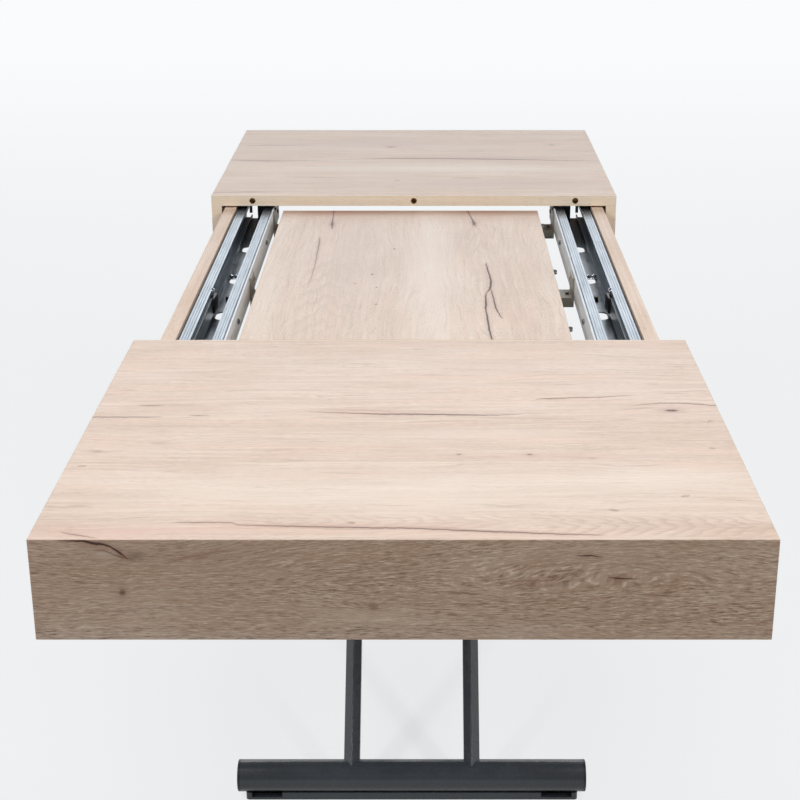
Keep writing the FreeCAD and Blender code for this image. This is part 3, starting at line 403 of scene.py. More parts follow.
@dataclass(frozen=True)
class OakDecor(Finish):
    """Pale rustic oak with its own planks, knots and cracks."""

    run: GrainRun
    low: Pair
    high: Pair
    seed: float
    cracks: tuple[CrackRow, ...] = ()
    knots: tuple[Knot, ...] = ()
    swells: tuple[Swell, ...] = ()
    stains: tuple[Stain, ...] = ()
    seams: tuple[Seam, ...] = ()
    arches: tuple[Cathedral, ...] = ()
    wander: float = 40.0
    pore_depth: float = 0.3
    fleck_depth: float = 0.25
    blush: float = 0.6
    ring_pitch: float = 11.0
    tone: float = 0.0
    plank_shift: Pair = (211.0, 97.0)
    banded_edges: bool = False
    polish: float = 0.42
    cream: Colour = shade(219, 194, 174)
    rose: Colour = shade(193, 159, 132)
    pale: Colour = shade(232, 213, 190)
    fibre: Colour = shade(172, 138, 115)
    pore: Colour = shade(128, 99, 79)
    pink: Colour = shade(216, 178, 152)
    heart: Colour = shade(158, 108, 82)
    dark: Colour = shade(64, 38, 26)
    band: Colour = shade(238, 213, 181)

    def paint(self, graph: Graph) -> None:
        """Build the oak from its grain outwards to its cracks."""
        along, across, depth = self.run.axes(graph)
        plane = graph.combine(along, across, depth)
        plank, plank_tone = self.planks(along, across)
        own_across = across + plank * self.plank_shift[1]
        place = graph.combine(along + plank * self.plank_shift[0], own_across, depth)
        grain = graph.combine(along, self.flow(graph, place, plane, own_across), depth)
        colour, fibres, pores = self.wood(graph, place, grain, plank_tone)
        colour = graph.mix(self.arch_lines(graph, along, across, grain), colour, self.fibre)
        colour = graph.mix(self.seam_lines(graph, along, across, grain), colour, self.fibre)
        colour, marks = self.stained(graph, plane, colour)
        colour, split = self.cracked(graph, along, across, depth, colour)
        if self.banded_edges:
            colour = self.edged(graph, along, across, colour)
        marks = marks.greater(split)
        rough = 0.46 + pores * 0.12 + marks * 0.2 - (fibres - 0.5) * 0.1
        height = 0.6 + (fibres - 0.5) * 0.5 - pores * 0.35 - split * 0.6
        sockets = {"Base Color": colour, "Roughness": rough, "Sheen Weight": 0.2, "Sheen Roughness": 0.4}
        gloss = (1.0 - marks * 0.9) * self.polish
        graph.finish({**sockets, "Coat Weight": gloss, "Coat Roughness": 0.36}, height, 0.35, 0.35)

    def planks(self, along: Signal, across: Signal) -> tuple[Signal, Signal]:
        """Number and tone of the plank under each point.

        Args:
            along: Place along the grain.
            across: Place across the grain.

        Returns:
            The plank's number and its tone.
        """
        number = across * 0.0
        tone = number + self.tone
        for seam in self.seams:
            past = (across - along * seam.tilt - seam.across).ease(-0.6, 0.6)
            number = number + past
            tone = tone + past * seam.tone
        return number, tone

    def seam_lines(self, graph: Graph, along: Signal, across: Signal, grain: Signal) -> Signal:
        """Cover of the fine broken lines where planks meet.

        Args:
            graph: Graph of the board.
            along: Place along the grain.
            across: Place across the grain.
            grain: Place in the wandering grain.

        Returns:
            How much of the line shows.
        """
        cover = along * 0.0
        broken = graph.noise(grain, (90.0, 30.0, 90.0), self.seed + 14.2, 3.0).ease(0.42, 0.62)
        for seam in self.seams:
            gap = abs(across - along * seam.tilt - seam.across)
            cover = cover.greater(gap.ease(1.3, 0.3) * broken * seam.line)
        return cover

    def flow(self, graph: Graph, place: Signal, plane: Signal, across: Signal) -> Signal:
        """Place across the grain once it wanders and rises over the knots.

        Args:
            graph: Graph of the board.
            place: Place on the plank.
            plane: Place on the board.
            across: Place across the plank.

        Returns:
            The wandering place across the grain.
        """
        drift = graph.noise(place, (640.0, 170.0, 170.0), self.seed, 1.0) - 0.5
        sway = graph.noise(place, (170.0, 42.0, 60.0), self.seed + 3.1, 1.0) - 0.5
        ripple = graph.noise(place, (48.0, 12.0, 20.0), self.seed + 5.7, 1.0) - 0.5
        flowing = across + drift * self.wander + sway * 16.0 + ripple * 4.0
        for knot in self.knots + self.swells:
            flowing = flowing + knot.spread(graph, plane, 2.6).decay() * knot.lift
        return flowing

    def wood(
        self, graph: Graph, place: Signal, grain: Signal, plank_tone: Signal
    ) -> tuple[Signal, Signal, Signal]:
        """Colour of the sound wood.

        Args:
            graph: Graph of the board.
            place: Place on the plank.
            grain: Place in the wandering grain.
            plank_tone: Tone of the plank.

        Returns:
            The colour, the fibres and the pores.
        """
        bands = graph.noise(grain, (900.0, 58.0, 200.0), self.seed + 1.3)
        streaks = graph.noise(grain, (210.0, 6.5, 60.0), self.seed + 2.9, 4.0, 0.62)
        patches = graph.noise(place, (150.0, 60.0, 120.0), self.seed + 8.2, 3.0, 0.55)
        blush = graph.noise(place, (230.0, 36.0, 80.0), self.seed + 13.1).ease(0.50, 0.70)
        gleam = graph.noise(grain, (130.0, 3.2, 40.0), self.seed + 4.4).ease(0.54, 0.74)
        fibres = graph.noise(grain, (50.0, 1.2, 14.0), self.seed + 6.6, 3.0, 0.65)
        dashes = graph.noise(grain, (10.0, 0.9, 5.0), self.seed + 7.7, 2.0, 0.6)
        fields = graph.noise(grain, (150.0, 18.0, 60.0), self.seed + 9.5).ease(0.30, 0.66)
        pores = dashes.ease(0.53, 0.66) * (0.4 + fields * 0.6)
        tone = 0.5 + plank_tone + (bands - 0.5) * 1.4 + (streaks - 0.5) * 1.7 + (patches - 0.5) * 1.6
        colour = graph.mix(tone, self.cream, self.rose)
        colour = graph.mix(blush * self.blush, colour, self.pink)
        colour = graph.mix(gleam * 0.4 + dashes.ease(0.46, 0.34) * self.fleck_depth, colour, self.pale)
        colour = graph.mix(self.growth(graph, grain) * 0.7, colour, self.fibre)
        colour = graph.mix(fibres.ease(0.46, 0.80) * 0.5, colour, self.fibre)
        colour = graph.mix(pores * self.pore_depth, colour, self.pore)
        return colour, fibres, pores

    def growth(self, graph: Graph, grain: Signal) -> Signal:
        """Cover of the thin broken growth lines.

        Args:
            graph: Graph of the board.
            grain: Place in the wandering grain.

        Returns:
            How much of a line shows.
        """
        (across,) = graph.split(grain, "Y")
        sway = graph.noise(grain, (140.0, 26.0, 60.0), self.seed + 15.4) * 3.2
        ring = (across / self.ring_pitch + sway).fraction()
        broken = graph.noise(grain, (75.0, 9.0, 40.0), self.seed + 16.8, 3.0, 0.6).ease(0.46, 0.66)
        return ring.ease(0.70, 0.93) * ring.ease(1.0, 0.95) * broken

    def arch_lines(self, graph: Graph, along: Signal, across: Signal, grain: Signal) -> Signal:
        """Cover of the nested arches.

        Args:
            graph: Graph of the board.
            along: Place along the grain.
            across: Place across the grain.
            grain: Place in the wandering grain.

        Returns:
            How much of the arch line shows.
        """
        cover = along * 0.0
        for arch in self.arches:
            wobble = graph.noise(grain, (60.0, 14.0, 30.0), self.seed + arch.along, 1.0) - 0.5
            off = (across - arch.across) / arch.width
            far = (along - arch.along) / arch.length
            rise = abs(off + wobble * 0.5) * arch.bow + (along - arch.along) / arch.pitch + wobble * 1.6
            line = rise.fraction().ease(0.35, 0.95) * (1.0 - rise.fraction().ease(0.95, 1.0))
            room = (1.0 - (off * off).ease(0.3, 1.0)) * (1.0 - (far * far).ease(0.2, 1.0))
            cover = cover.greater(line * room * arch.strength)
        return cover

    def stained(self, graph: Graph, plane: Signal, colour: Signal) -> tuple[Signal, Signal]:
        """Colour with the stains and knots on it.

        Args:
            graph: Graph of the board.
            plane: Place on the board.
            colour: Colour of the sound wood.

        Returns:
            The colour, and how much of a point is knot.
        """
        uneven = graph.noise(plane, (7.0, 4.0, 9.0), self.seed + 11.0, 3.0, 0.65) - 0.5
        marks = uneven * 0.0
        for stain in self.stains:
            cover = (stain.spread(graph, plane) + uneven * 0.5).decay() * stain.strength
            colour = graph.mix(cover, colour, stain.colour)
        for knot in self.knots:
            spread = knot.spread(graph, plane) + uneven * 1.8
            rim = (spread * 0.28).decay() * knot.darkness
            core = spread.ease(1.3, -0.2) * knot.darkness
            colour = graph.mix(rim * 0.75, colour, self.heart)
            colour = graph.mix(core, colour, self.dark)
            marks = marks.greater(core)
        return colour, marks

    def cracked(
        self, graph: Graph, along: Signal, across: Signal, depth: Signal, colour: Signal
    ) -> tuple[Signal, Signal]:
        """Colour with the cracks in it.

        Args:
            graph: Graph of the board.
            along: Place along the grain.
            across: Place across the grain.
            depth: Place into the board.
            colour: Colour of the uncracked wood.

        Returns:
            The colour, and how much of a point is open crack.
        """
        reach = self.high[1] - self.low[1]
        share = (along - self.low[0]) / (self.high[0] - self.low[0])
        jag = graph.noise(graph.combine(along, 0.0, depth), (11.0, 9.0, 40.0), self.seed + 12.3, 4.0, 0.7)
        torn = across + (jag - 0.5) * 4.2
        split = along * 0.0
        for row in self.cracks:
            places = row.places(self.low, self.high)
            line = graph.curve(share, [(at, level) for at, level, _ in places]) * reach + self.low[1]
            width = graph.curve(share, [(at, wide) for at, _, wide in places]) * row.widest
            gap = abs(torn - line)
            there = width.ease(0.02, 0.3)
            halo = (gap / (width * 3.5 + 2.4)).ease(1.0, 0.0) * there
            core = (gap / (width * (0.6 + jag * 0.8) + 0.02)).ease(1.25, 0.35) * there
            colour = graph.mix(halo * row.halo, colour, self.heart)
            colour = graph.mix(core * row.darkness, colour, self.dark)
            split = split.greater(core * row.darkness)
        return colour, split

    def edged(self, graph: Graph, along: Signal, across: Signal, colour: Signal) -> Signal:
        """Colour with the plain band round the edge of a loose board.

        Args:
            graph: Graph of the board.
            along: Place along the grain.
            across: Place across the grain.
            colour: Colour of the face.

        Returns:
            The colour of face and edges.
        """
        inset = (along - self.low[0]).lesser(self.high[0] - along)
        inset = inset.lesser(across - self.low[1]).lesser(self.high[1] - across)
        return graph.mix(inset.ease(0.45, 0.2), colour, self.band)


@dataclass(frozen=True)
class UprightOak(OakDecor):
    """Oak of the upright faces, with coarse pores and little pink."""

    wander: float = 46.0
    pore_depth: float = 0.8
    fleck_depth: float = 0.55
    blush: float = 0.2
    ring_pitch: float = 8.0


@dataclass(frozen=True)
class LeafOak(OakDecor):
    """Oak of a loose leaf, with a band round its edge."""

    wander: float = 64.0
    pore_depth: float = 0.4
    banded_edges: bool = True


@dataclass(frozen=True)
class PlainOak(Finish):
    """Light straight-grained oak of edge bands and aprons."""

    run: GrainRun
    light: Colour
    deep: Colour
    seed: float

    def paint(self, graph: Graph) -> None:
        """Build fine straight grain with faint streaks."""
        along, across, depth = self.run.axes(graph)
        place = graph.combine(along, across, depth)
        streaks = graph.noise(place, (520.0, 6.0, 5.0), self.seed, 3.0, 0.6)
        clouds = graph.noise(place, (160.0, 40.0, 40.0), self.seed + 2.2)
        fibres = graph.noise(place, (60.0, 0.9, 0.9), self.seed + 4.1)
        pores = graph.noise(place, (14.0, 0.8, 0.8), self.seed + 6.3, 1.0).ease(0.60, 0.72)
        tone = 0.5 + (streaks - 0.5) * 2.2 + (clouds - 0.5) * 1.2 + (fibres - 0.5) * 0.8
        colour = graph.mix(tone, self.light, self.deep)
        colour = graph.mix(pores * 0.3, colour, shade(158, 124, 94))
        rough = 0.5 + pores * 0.1 + (clouds - 0.5) * 0.1
        graph.finish({"Base Color": colour, "Roughness": rough}, fibres - pores * 0.5, 0.25, 0.25)


@dataclass(frozen=True)
class PowderCoat(Finish):
    """Painted steel with the fine orange peel of powder paint."""

    colour: Colour
    worn: Colour
    roughness: float
    peel: float = 1.1

    def paint(self, graph: Graph) -> None:
        """Build the paint with a faint mottle and handling marks."""
        place = graph.place()
        peel = graph.noise(place, (self.peel, self.peel, self.peel), 1.0)
        mottle = graph.noise(place, (34.0, 34.0, 34.0), 4.0, 3.0)
        rubs = graph.noise(place, (60.0, 9.0, 60.0), 7.0, 4.0, 0.65).ease(0.60, 0.78)
        colour = graph.mix((mottle - 0.3) * 0.55 + (peel - 0.5) * 0.35 + rubs * 0.3, self.colour, self.worn)
        rough = self.roughness + (mottle - 0.5) * 0.16 - rubs * 0.08 + (peel - 0.5) * 0.1
        graph.finish({"Base Color": colour, "Roughness": rough}, peel, 0.22, 0.12)


@dataclass(frozen=True)
class DrawnMetal(Finish):
    """Extruded or drawn metal with die lines along the table."""

    colour: Colour
    line: Colour
    roughness: float
    metal: float = 1.0

    def paint(self, graph: Graph) -> None:
        """Build die lines, a faint cloud and small scuffs."""
        place = graph.place()
        lines = graph.noise(place, (0.7, 260.0, 0.7), 2.0, 3.0, 0.6)
        clouds = graph.noise(place, (25.0, 70.0, 25.0), 5.0, 3.0)
        scuffs = graph.noise(place, (3.0, 40.0, 3.0), 9.0, 3.0, 0.7).ease(0.62, 0.75)
        colour = graph.mix((lines - 0.5) * 2.0 + 0.4 + (clouds - 0.5) * 0.6, self.colour, self.line)
        rough = self.roughness + (lines - 0.5) * 0.22 + scuffs * 0.14 + (clouds - 0.5) * 0.12
        graph.finish({"Base Color": colour, "Roughness": rough, "Metallic": self.metal}, lines, 0.15, 0.06)


@dataclass(frozen=True)
class GalvanisedSheet(Finish):
    """Zinc-coated sheet with spangles and smears."""

    colour: Colour
    bright: Colour
    roughness: float
    # Painted shade: dark colour, and its place in mm, of the sheet past the outer wall, standing in for the
    # shadowed gap beside the apron.
    painted_gap_shade: Colour = shade(24, 24, 26)
    painted_gap_shade_at: float = 313.0

    def paint(self, graph: Graph) -> None:
        """Build the crystal spangles under a greasy haze, and painted shade: a dark, dull sheet past the
        outer wall for the shadowed gap beside the apron.
        """
        place = graph.place()
        crystal = graph.signal("ShaderNodeTexVoronoi", None, {"Vector": place, "Scale": 0.16}, "Color")
        facet = graph.vector("DOT_PRODUCT", crystal, (0.33, 0.33, 0.34), output=1)
        smear = graph.noise(place, (14.0, 120.0, 14.0), 3.0, 3.0, 0.6)
        haze = graph.noise(place, (45.0, 60.0, 45.0), 6.0)
        tone = facet * 0.35 + (smear - 0.5) * 0.9 + (haze - 0.5) * 0.8
        colour = graph.mix(tone, self.colour, self.bright)
        (out,) = graph.split(place, "X")
        # Painted shade: past the outer wall the sheet turns dark, rougher and less metallic, for the
        # shadowed gap.
        painted_gap_shade = abs(out).ease(self.painted_gap_shade_at - 0.2, self.painted_gap_shade_at + 0.2)
        colour = graph.mix(painted_gap_shade, colour, self.painted_gap_shade)
        rough = self.roughness + (facet - 0.5) * 0.08 + (haze - 0.5) * 0.3 + painted_gap_shade * 0.4
        metal = 0.9 - painted_gap_shade * 0.9
        graph.finish({"Base Color": colour, "Roughness": rough, "Metallic": metal}, smear, 0.08, 0.1)


@dataclass(frozen=True)
class TurnedMetal(Finish):
    """Bright small metal parts, plated or plain."""

    colour: Colour
    dull: Colour
    roughness: float

    def paint(self, graph: Graph) -> None:
        """Build the bare metal with dull spots and fine scratches."""
        place = graph.place()
        dull = graph.noise(place, (5.0, 5.0, 5.0), 2.0, 4.0, 0.6)
        scratch = graph.noise(place, (0.4, 6.0, 6.0), 5.0)
        colour = graph.mix(dull.ease(0.42, 0.68) * 0.7, self.colour, self.dull)
        rough = self.roughness + dull.ease(0.4, 0.7) * 0.18 + (scratch - 0.5) * 0.16
        graph.finish({"Base Color": colour, "Roughness": rough, "Metallic": 1.0}, scratch, 0.12, 0.05)


@dataclass(frozen=True)
class MouldedPlastic(Finish):
    """Moulded plastic with a fine spark-eroded grain."""

    colour: Colour
    rubbed: Colour
    roughness: float

    def paint(self, graph: Graph) -> None:
        """Build the grain and the paler rubbed places."""
        place = graph.place()
        grain = graph.noise(place, (0.5, 0.5, 0.5), 3.0)
        rubbed = graph.noise(place, (8.0, 8.0, 8.0), 6.0, 3.0)
        colour = graph.mix(rubbed.ease(0.5, 0.75) * 0.5 + (grain - 0.5) * 0.2, self.colour, self.rubbed)
        rough = self.roughness + (grain - 0.5) * 0.18 - rubbed.ease(0.5, 0.75) * 0.08
        graph.finish({"Base Color": colour, "Roughness": rough}, grain, 0.25, 0.08)


@dataclass(frozen=True)
class Felt(Finish):
    """Pressed felt of the dots between the leaves."""

    colour: Colour
    tuft: Colour

    def paint(self, graph: Graph) -> None:
        """Build matted fibres."""
        place = graph.place()
        mat = graph.noise(place, (0.6, 0.6, 0.6), 1.0, 4.0, 0.7)
        colour = graph.mix(mat.ease(0.35, 0.7), self.colour, self.tuft)
        graph.finish({"Base Color": colour, "Roughness": 0.9 + (mat - 0.5) * 0.1}, mat, 0.6, 0.4)


# The edge bands are near white: partly their own pale oak, partly a painted highlight for the brightly lit
# mating edges.
EDGE_ACROSS = PlainOak(
    "edge_oak_across", GrainRun.ACROSS_TABLE, shade(255, 240, 220), shade(252, 230, 202), 3.0
)
APRON_OAK = PlainOak(
    "apron_oak_along", GrainRun.ALONG_TABLE, shade(234, 212, 193), shade(216, 186, 163), 8.0
)
GRAPHITE = PowderCoat("graphite_paint", shade(66, 71, 77), shade(80, 86, 92), 0.27)
PALE_PAINT = PowderCoat("pale_paint", shade(230, 236, 243), shade(218, 225, 233), 0.5)
TAUPE_PAINT = PowderCoat("taupe_paint", shade(158, 152, 143), shade(136, 130, 121), 0.5)
TRACK_ALUMINIUM = DrawnMetal("track_aluminium", shade(154, 163, 172), shade(112, 123, 134), 0.42)
DARK_RUNNER = DrawnMetal("dark_runner", shade(74, 84, 89), shade(44, 52, 57), 0.34, 0.85)
TRAY_SHEET = GalvanisedSheet("tray_sheet", shade(86, 94, 101), shade(140, 148, 156), 0.34)
ZINC_STEEL = TurnedMetal("zinc_steel", shade(196, 199, 204), shade(150, 152, 156), 0.26)
CATCH_CHROME = TurnedMetal("catch_chrome", shade(222, 225, 228), shade(176, 180, 184), 0.14)
DARK_STEEL = TurnedMetal("dark_steel", shade(112, 114, 118), shade(74, 76, 80), 0.34)
SOCKET_BRASS = TurnedMetal("socket_brass", shade(196, 168, 112), shade(128, 104, 66), 0.3)
BLACK_PLASTIC = MouldedPlastic("black_plastic", shade(20, 20, 21), shade(46, 46, 48), 0.45)
ROLLER_PLASTIC = MouldedPlastic("roller_plastic", shade(206, 206, 200), shade(176, 176, 170), 0.5)
DARK_FELT = Felt("dark_felt", shade(58, 58, 60), shade(96, 96, 98))

FRONT_TOP = OakDecor(
    "oak_front_top", GrainRun.ACROSS_TABLE, (-360, -1002.5), (360, -402.5), 1,
    cracks=(
        CrackRow((
            ((-360, -680, 0.9), (-330, -680, 0.9), (-295, -680, 0.7), (-276, -680, 0)),
            ((-252, -675, 0), (-240, -675, 0.6), (-222, -675, 0)),
            (
                (-125, -663, 0), (-101, -664, 0.3), (-37, -670, 1.3), (10, -671, 1.7), (60, -673, 1.5),
                (103, -674, 0.8), (140, -669, 0),
            ),
            (
                (252, -647, 0), (275, -640, 0.4), (295, -635, 0.6), (319, -635, 0.8), (340, -639, 0.9),
                (358, -643, 0.7), (360, -643.5, 0.7),
            ),
        )),
        CrackRow((
            ((-315, -643, 0), (-300, -643, 0.8), (-280, -644, 0)),
            ((148, -621.5, 0), (165, -620, 1.1), (200, -617, 0.9), (228, -615, 0.8), (275, -608, 0)),
        ), 0.9),
        CrackRow((
            ((-234, -963, 0), (-200, -963.5, 0.6), (-168, -964, 0.4), (-162, -970, 0.4)),
            (
                (-120, -972, 0.9), (-81, -974, 1), (6, -977, 1.1), (93, -985, 1.3), (150, -990, 0.9),
                (200, -993, 0),
            ),
        ), 0.85, 0.7),
        CrackRow((
            ((-349, -824, 0), (-342, -823, 0.8), (-337, -822, 0)),
            ((-334, -985, 0), (-315, -992, 1), (-290, -1000, 0)),
            ((-54, -965, 0), (-51, -965, 1.5), (-48, -965, 0)),
            ((203, -935, 0), (208, -935, 1), (214, -936, 0)),
            ((280, -901, 0), (284, -901, 1), (290, -900, 0)),
            ((329, -773, 0), (333, -773, 1), (338, -773, 0)),
            ((340, -692, 0), (343, -692, 0.9), (348, -693, 0)),
        ), 0.7),
        CrackRow((
            ((-120, -655, 0), (-60, -658, 0.4), (20, -661, 0)),
            ((60, -682, 0), (120, -683, 0.4), (230, -684, 0)),
            ((236, -660, 0), (270, -652, 0.4), (296, -650, 0)),
        ), 0.25, 0.5),
    ),
    knots=(
        Knot(305, -659, 17, 9, 9, 0.85), Knot(57, -791, 6, 4, 3, 0.6), Knot(133, -791, 7, 4.5, 3, 0.7),
        Knot(200, -801, 8, 4, 3, 0.45), Knot(-270, -758, 26, 13, 8, 0.16),
        Knot(-334, -784, 11, 5, 4, 0.22),
    ),
    stains=(
        Stain(-60, -664, 200, 26, shade(196, 152, 128), 0.4),
        Stain(-290, -652, 120, 34, shade(198, 156, 132), 0.35),
        Stain(300, -650, 110, 24, shade(198, 158, 134), 0.35),
        Stain(-270, -985, 230, 34, shade(204, 152, 132), 0.4),
        Stain(-20, -970, 260, 22, shade(200, 152, 130), 0.35),
        Stain(150, -797, 220, 16, shade(202, 160, 138), 0.45),
        Stain(-80, -890, 460, 90, shade(232, 217, 200), 0.5),
        Stain(230, -860, 300, 70, shade(232, 217, 200), 0.45),
        Stain(60, -735, 200, 40, shade(228, 210, 192), 0.4),
    ),
    seams=(Seam(-810, 0.006, 0.16), Seam(-480, 0.004, 0.2)),
    arches=(Cathedral(250, -972, 135, 26, 19, 0.55, 1.6), Cathedral(-20, -962, 170, 20, 24, 0.35, 1.4)),
    tone=-0.2,
)

FRONT_END = UprightOak(
    "oak_front_end", GrainRun.END_FACE, (-360, 652), (360, 760), 4.2,
    cracks=(
        CrackRow((
            (
                (-334, 759.3, 0), (-318, 759, 0.7), (-306, 758.3, 1.7), (-290, 755, 1.8),
                (-281, 753, 1.2), (-276, 750, 1.1), (-271, 746, 2.2), (-267, 742, 0.7), (-264, 739, 0),
            ),
            ((164, 743, 0), (176, 743, 0.9), (194, 742, 0)),
            ((196, 719.5, 0), (206, 719, 1), (228, 718, 0)),
        )),
        CrackRow((
            ((-300, 750, 0), (-284, 747, 0.6), (-268, 741, 0.9), (-256, 738, 0)),
            ((-248, 731, 0), (-215, 739, 0.3), (-180, 747, 0.3), (-150, 754, 0)),
            ((40, 704, 0), (58, 703, 0.7), (80, 702, 0)), ((92, 716, 0), (120, 716, 0.6), (150, 717, 0)),
            ((232, 701, 0), (250, 700, 0.7), (275, 699, 0)),
        ), 0.55, 0.35),
    ),
    knots=(Knot(-272, 703, 7, 8, 4, 0.6), Knot(-30, 688, 11, 9, 5, 0.38)),
    swells=(
        Swell(-300, 775, 150, 46, 46), Swell(-290, 690, 90, 20, -9), Swell(60, 700, 120, 22, 10),
        Swell(220, 735, 110, 20, -12),
    ),
    stains=(
        Stain(-36, 678, 60, 16, shade(230, 208, 182), 0.5),
        Stain(-180, 746, 180, 26, shade(190, 160, 136), 0.4),
        Stain(-290, 748, 60, 20, shade(180, 148, 122), 0.4),
        Stain(-284, 745, 26, 8, shade(222, 206, 188), 0.6),
        Stain(-258, 742, 22, 9, shade(128, 104, 86), 0.7),
    ),
    fleck_depth=0.9, blush=0.15, tone=0.2, pore=shade(108, 84, 64),
)

REAR_TOP = OakDecor(
    "oak_rear_top", GrainRun.ACROSS_TABLE, (-360, 402.5), (360, 1002.5), 7.4,
    cracks=(
        CrackRow((
            (
                (-360, 703, 0.4), (-320, 698, 1.2), (-286, 694, 1.6), (-250, 697, 0.3), (-166, 703, 0.2),
                (-100, 713, 0.5), (-40, 717, 2), (49, 717, 2.2), (140, 711, 2.6), (230, 704, 1.8),
                (296, 698, 0.8), (360, 694, 0.4),
            ),
        ), 0.8, 0.8),
        CrackRow((
            ((-356, 842, 0), (-290, 844, 1.4), (-204, 847, 0)),
            ((-60, 826, 0), (-50, 827, 2.6), (-36, 828, 0)),
        ), 0.55, 0.7),
        CrackRow((
            ((-358, 429, 0.6), (-303, 433, 1.8), (-228, 433, 0)),
            ((-36, 525, 0), (-32, 525, 1.6), (-26, 525, 0)),
            ((70, 545, 0), (100, 545, 1.2), (130, 545, 0)),
        ), 0.6, 0.7),
        CrackRow((((-236, 555, 0), (-180, 549, 0.9), (-122, 545, 0)),), 0.45, 0.6),
    ),
    knots=(Knot(-51, 827, 12, 10, 8, 0.4), Knot(278, 847, 16, 14, 10, 0.28)),
    stains=(
        Stain(120, 716, 340, 46, shade(178, 142, 122), 0.7),
        Stain(-290, 700, 170, 42, shade(178, 142, 122), 0.65),
        Stain(-120, 850, 460, 80, shade(186, 156, 140), 0.6),
        Stain(60, 625, 540, 56, shade(232, 215, 199), 0.7),
        Stain(300, 660, 140, 60, shade(206, 160, 142), 0.3),
        Stain(130, 500, 340, 56, shade(182, 150, 134), 0.6),
    ),
    # The tone, darker than the front top's, is partly painted shade for the light that falls off towards
    # the far end.
    seams=(Seam(560, 0.01, -0.14), Seam(715, -0.02, 0.2)), tone=0.05, polish=0.28,
)

REAR_END = UprightOak(
    "oak_rear_end", GrainRun.END_FACE, (-360, 652), (360, 760), 12.8,
    cracks=(
        CrackRow((((40, 731, 0), (90, 729, 1.1), (150, 726, 1.5), (196, 722, 0)),), 0.9),
        CrackRow((((-260, 690, 0), (-225, 691, 0.8), (-170, 690, 0)),), 0.6),
    ),
    knots=(Knot(214, 718, 15, 10, 10, 0.7), Knot(-120, 676, 9, 7, 7, 0.55)),
    stains=(Stain(150, 724, 170, 26, shade(192, 158, 134), 0.4),),
)

FRONT_SIDE = UprightOak(
    "oak_front_side", GrainRun.SIDE_FACE, (-1002.5, 652), (-402.5, 760), 17.3,
    cracks=(
        CrackRow((((-880, 716, 0), (-820, 719, 1.2), (-760, 718, 0)),), 0.85),
        CrackRow((((-610, 681, 0), (-560, 680, 1), (-520, 682, 0)),), 0.6),
    ),
    knots=(Knot(-700, 722, 13, 9, 9, 0.6),), tone=0.05,
)

REAR_SIDE = UprightOak(
    "oak_rear_side", GrainRun.SIDE_FACE, (402.5, 652), (1002.5, 760), 21.9,
    cracks=(
        CrackRow((((520, 700, 0), (590, 703, 1.2), (650, 705, 0)),), 0.85),
        CrackRow((((800, 735, 0), (850, 734, 0.9), (900, 736, 0)),), 0.6),
    ),
    knots=(Knot(676, 708, 12, 9, 9, 0.65),),
)

UPPER_LEAF = LeafOak(
    "oak_upper_leaf", GrainRun.ALONG_TABLE, (-336, -231), (384, 219), 26.5,
    cracks=(
        CrackRow((
            (
                (-336, 111, 1.2), (-290, 108.5, 1.6), (-235, 108, 1.5), (-205, 107, 1), (-178, 108, 1.9),
                (-135, 109, 1.2), (-119, 111, 0.6), (-98, 117, 1.8), (-62, 120, 1.9), (-10, 118, 1.4),
                (30, 116, 1.2), (50, 116, 0),
            ),
            ((268, 106, 0), (300, 104, 2), (335, 100, 1), (384, 95, 1)),
        )),
        CrackRow((
            (
                (-245, 130, 0), (-235, 127, 0.8), (-205, 123, 1.2), (-178, 121, 1.5), (-108, 119, 0.9),
                (-96, 117, 0),
            ),
            ((248, -137, 0), (280, -139, 2), (330, -140, 0.9), (384, -141, 0.9)),
        ), 0.9),
        CrackRow((
            ((-120, -156, 0), (-24, -153, 0.4), (32, -152, 0.6)),
            ((121, -153, 1), (170, -154, 1.3), (208, -155, 0)),
        ), 0.7),
        CrackRow((
            ((-336, -60, 0), (-178, -51, 0), (-175, -51, 1.6), (-171, -50, 0)),
            ((-93, -52, 0), (-90, -52, 1.5), (-86, -52, 0)),
            ((-72, -85, 0), (-69, -85, 1.6), (-66, -85, 0)),
            ((-25, -61, 0), (-20, -61, 2), (-15, -61, 0)),
            ((122, -30, 0), (128, -30, 1.5), (134, -30, 0)),
        ), 0.75),
    ),
    knots=(Knot(292, 104, 34, 9, 9, 0.8), Knot(290, -139, 30, 8, 9, 0.8)),
    stains=(
        # The first two stains, across the far end of the leaf by the rear half's edge, are partly a warm
        # tone and partly painted shadow of the rear half.
        Stain(376, -120, 110, 260, shade(172, 114, 82), 1),
        Stain(376, 130, 120, 220, shade(176, 122, 92), 0.95),
        Stain(0, 30, 700, 70, shade(228, 211, 195), 0.6),
        Stain(60, -85, 560, 110, shade(190, 164, 148), 0.55),
        Stain(-240, 151, 40, 26, shade(198, 150, 128), 0.5),
        Stain(-70, 122, 240, 34, shade(190, 156, 134), 0.55),
        Stain(120, -154, 200, 20, shade(196, 160, 138), 0.4),
        Stain(-120, -215, 500, 40, shade(226, 207, 190), 0.4),
    ),
    arches=(Cathedral(-120, -125, 260, 50, 62, 0.4, 1.5), Cathedral(190, 112, 130, 26, 70, 0.4, 1.8)),
    tone=0.1,
)

LOWER_LEAF = LeafOak(
    "oak_lower_leaf", GrainRun.ALONG_TABLE, (-322, -233), (398, 217), 33.1,
    cracks=(CrackRow((((-240, -60, 0), (-120, -64, 1.4), (10, -62, 0)),), 0.9),),
    knots=(Knot(150, 60, 16, 10, 9, 0.7),),
)


def dress(finish: Finish, *nodes: str) -> None:
    """Give CAD nodes a finish.

    Args:
        finish: The finish.
        nodes: Names of the nodes.
    """
    for name in nodes:
        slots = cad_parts[name].data.materials
        slots.clear()
        slots.append(material_of(finish))
        LOG.info("dressed %s in %s", name, finish.name)


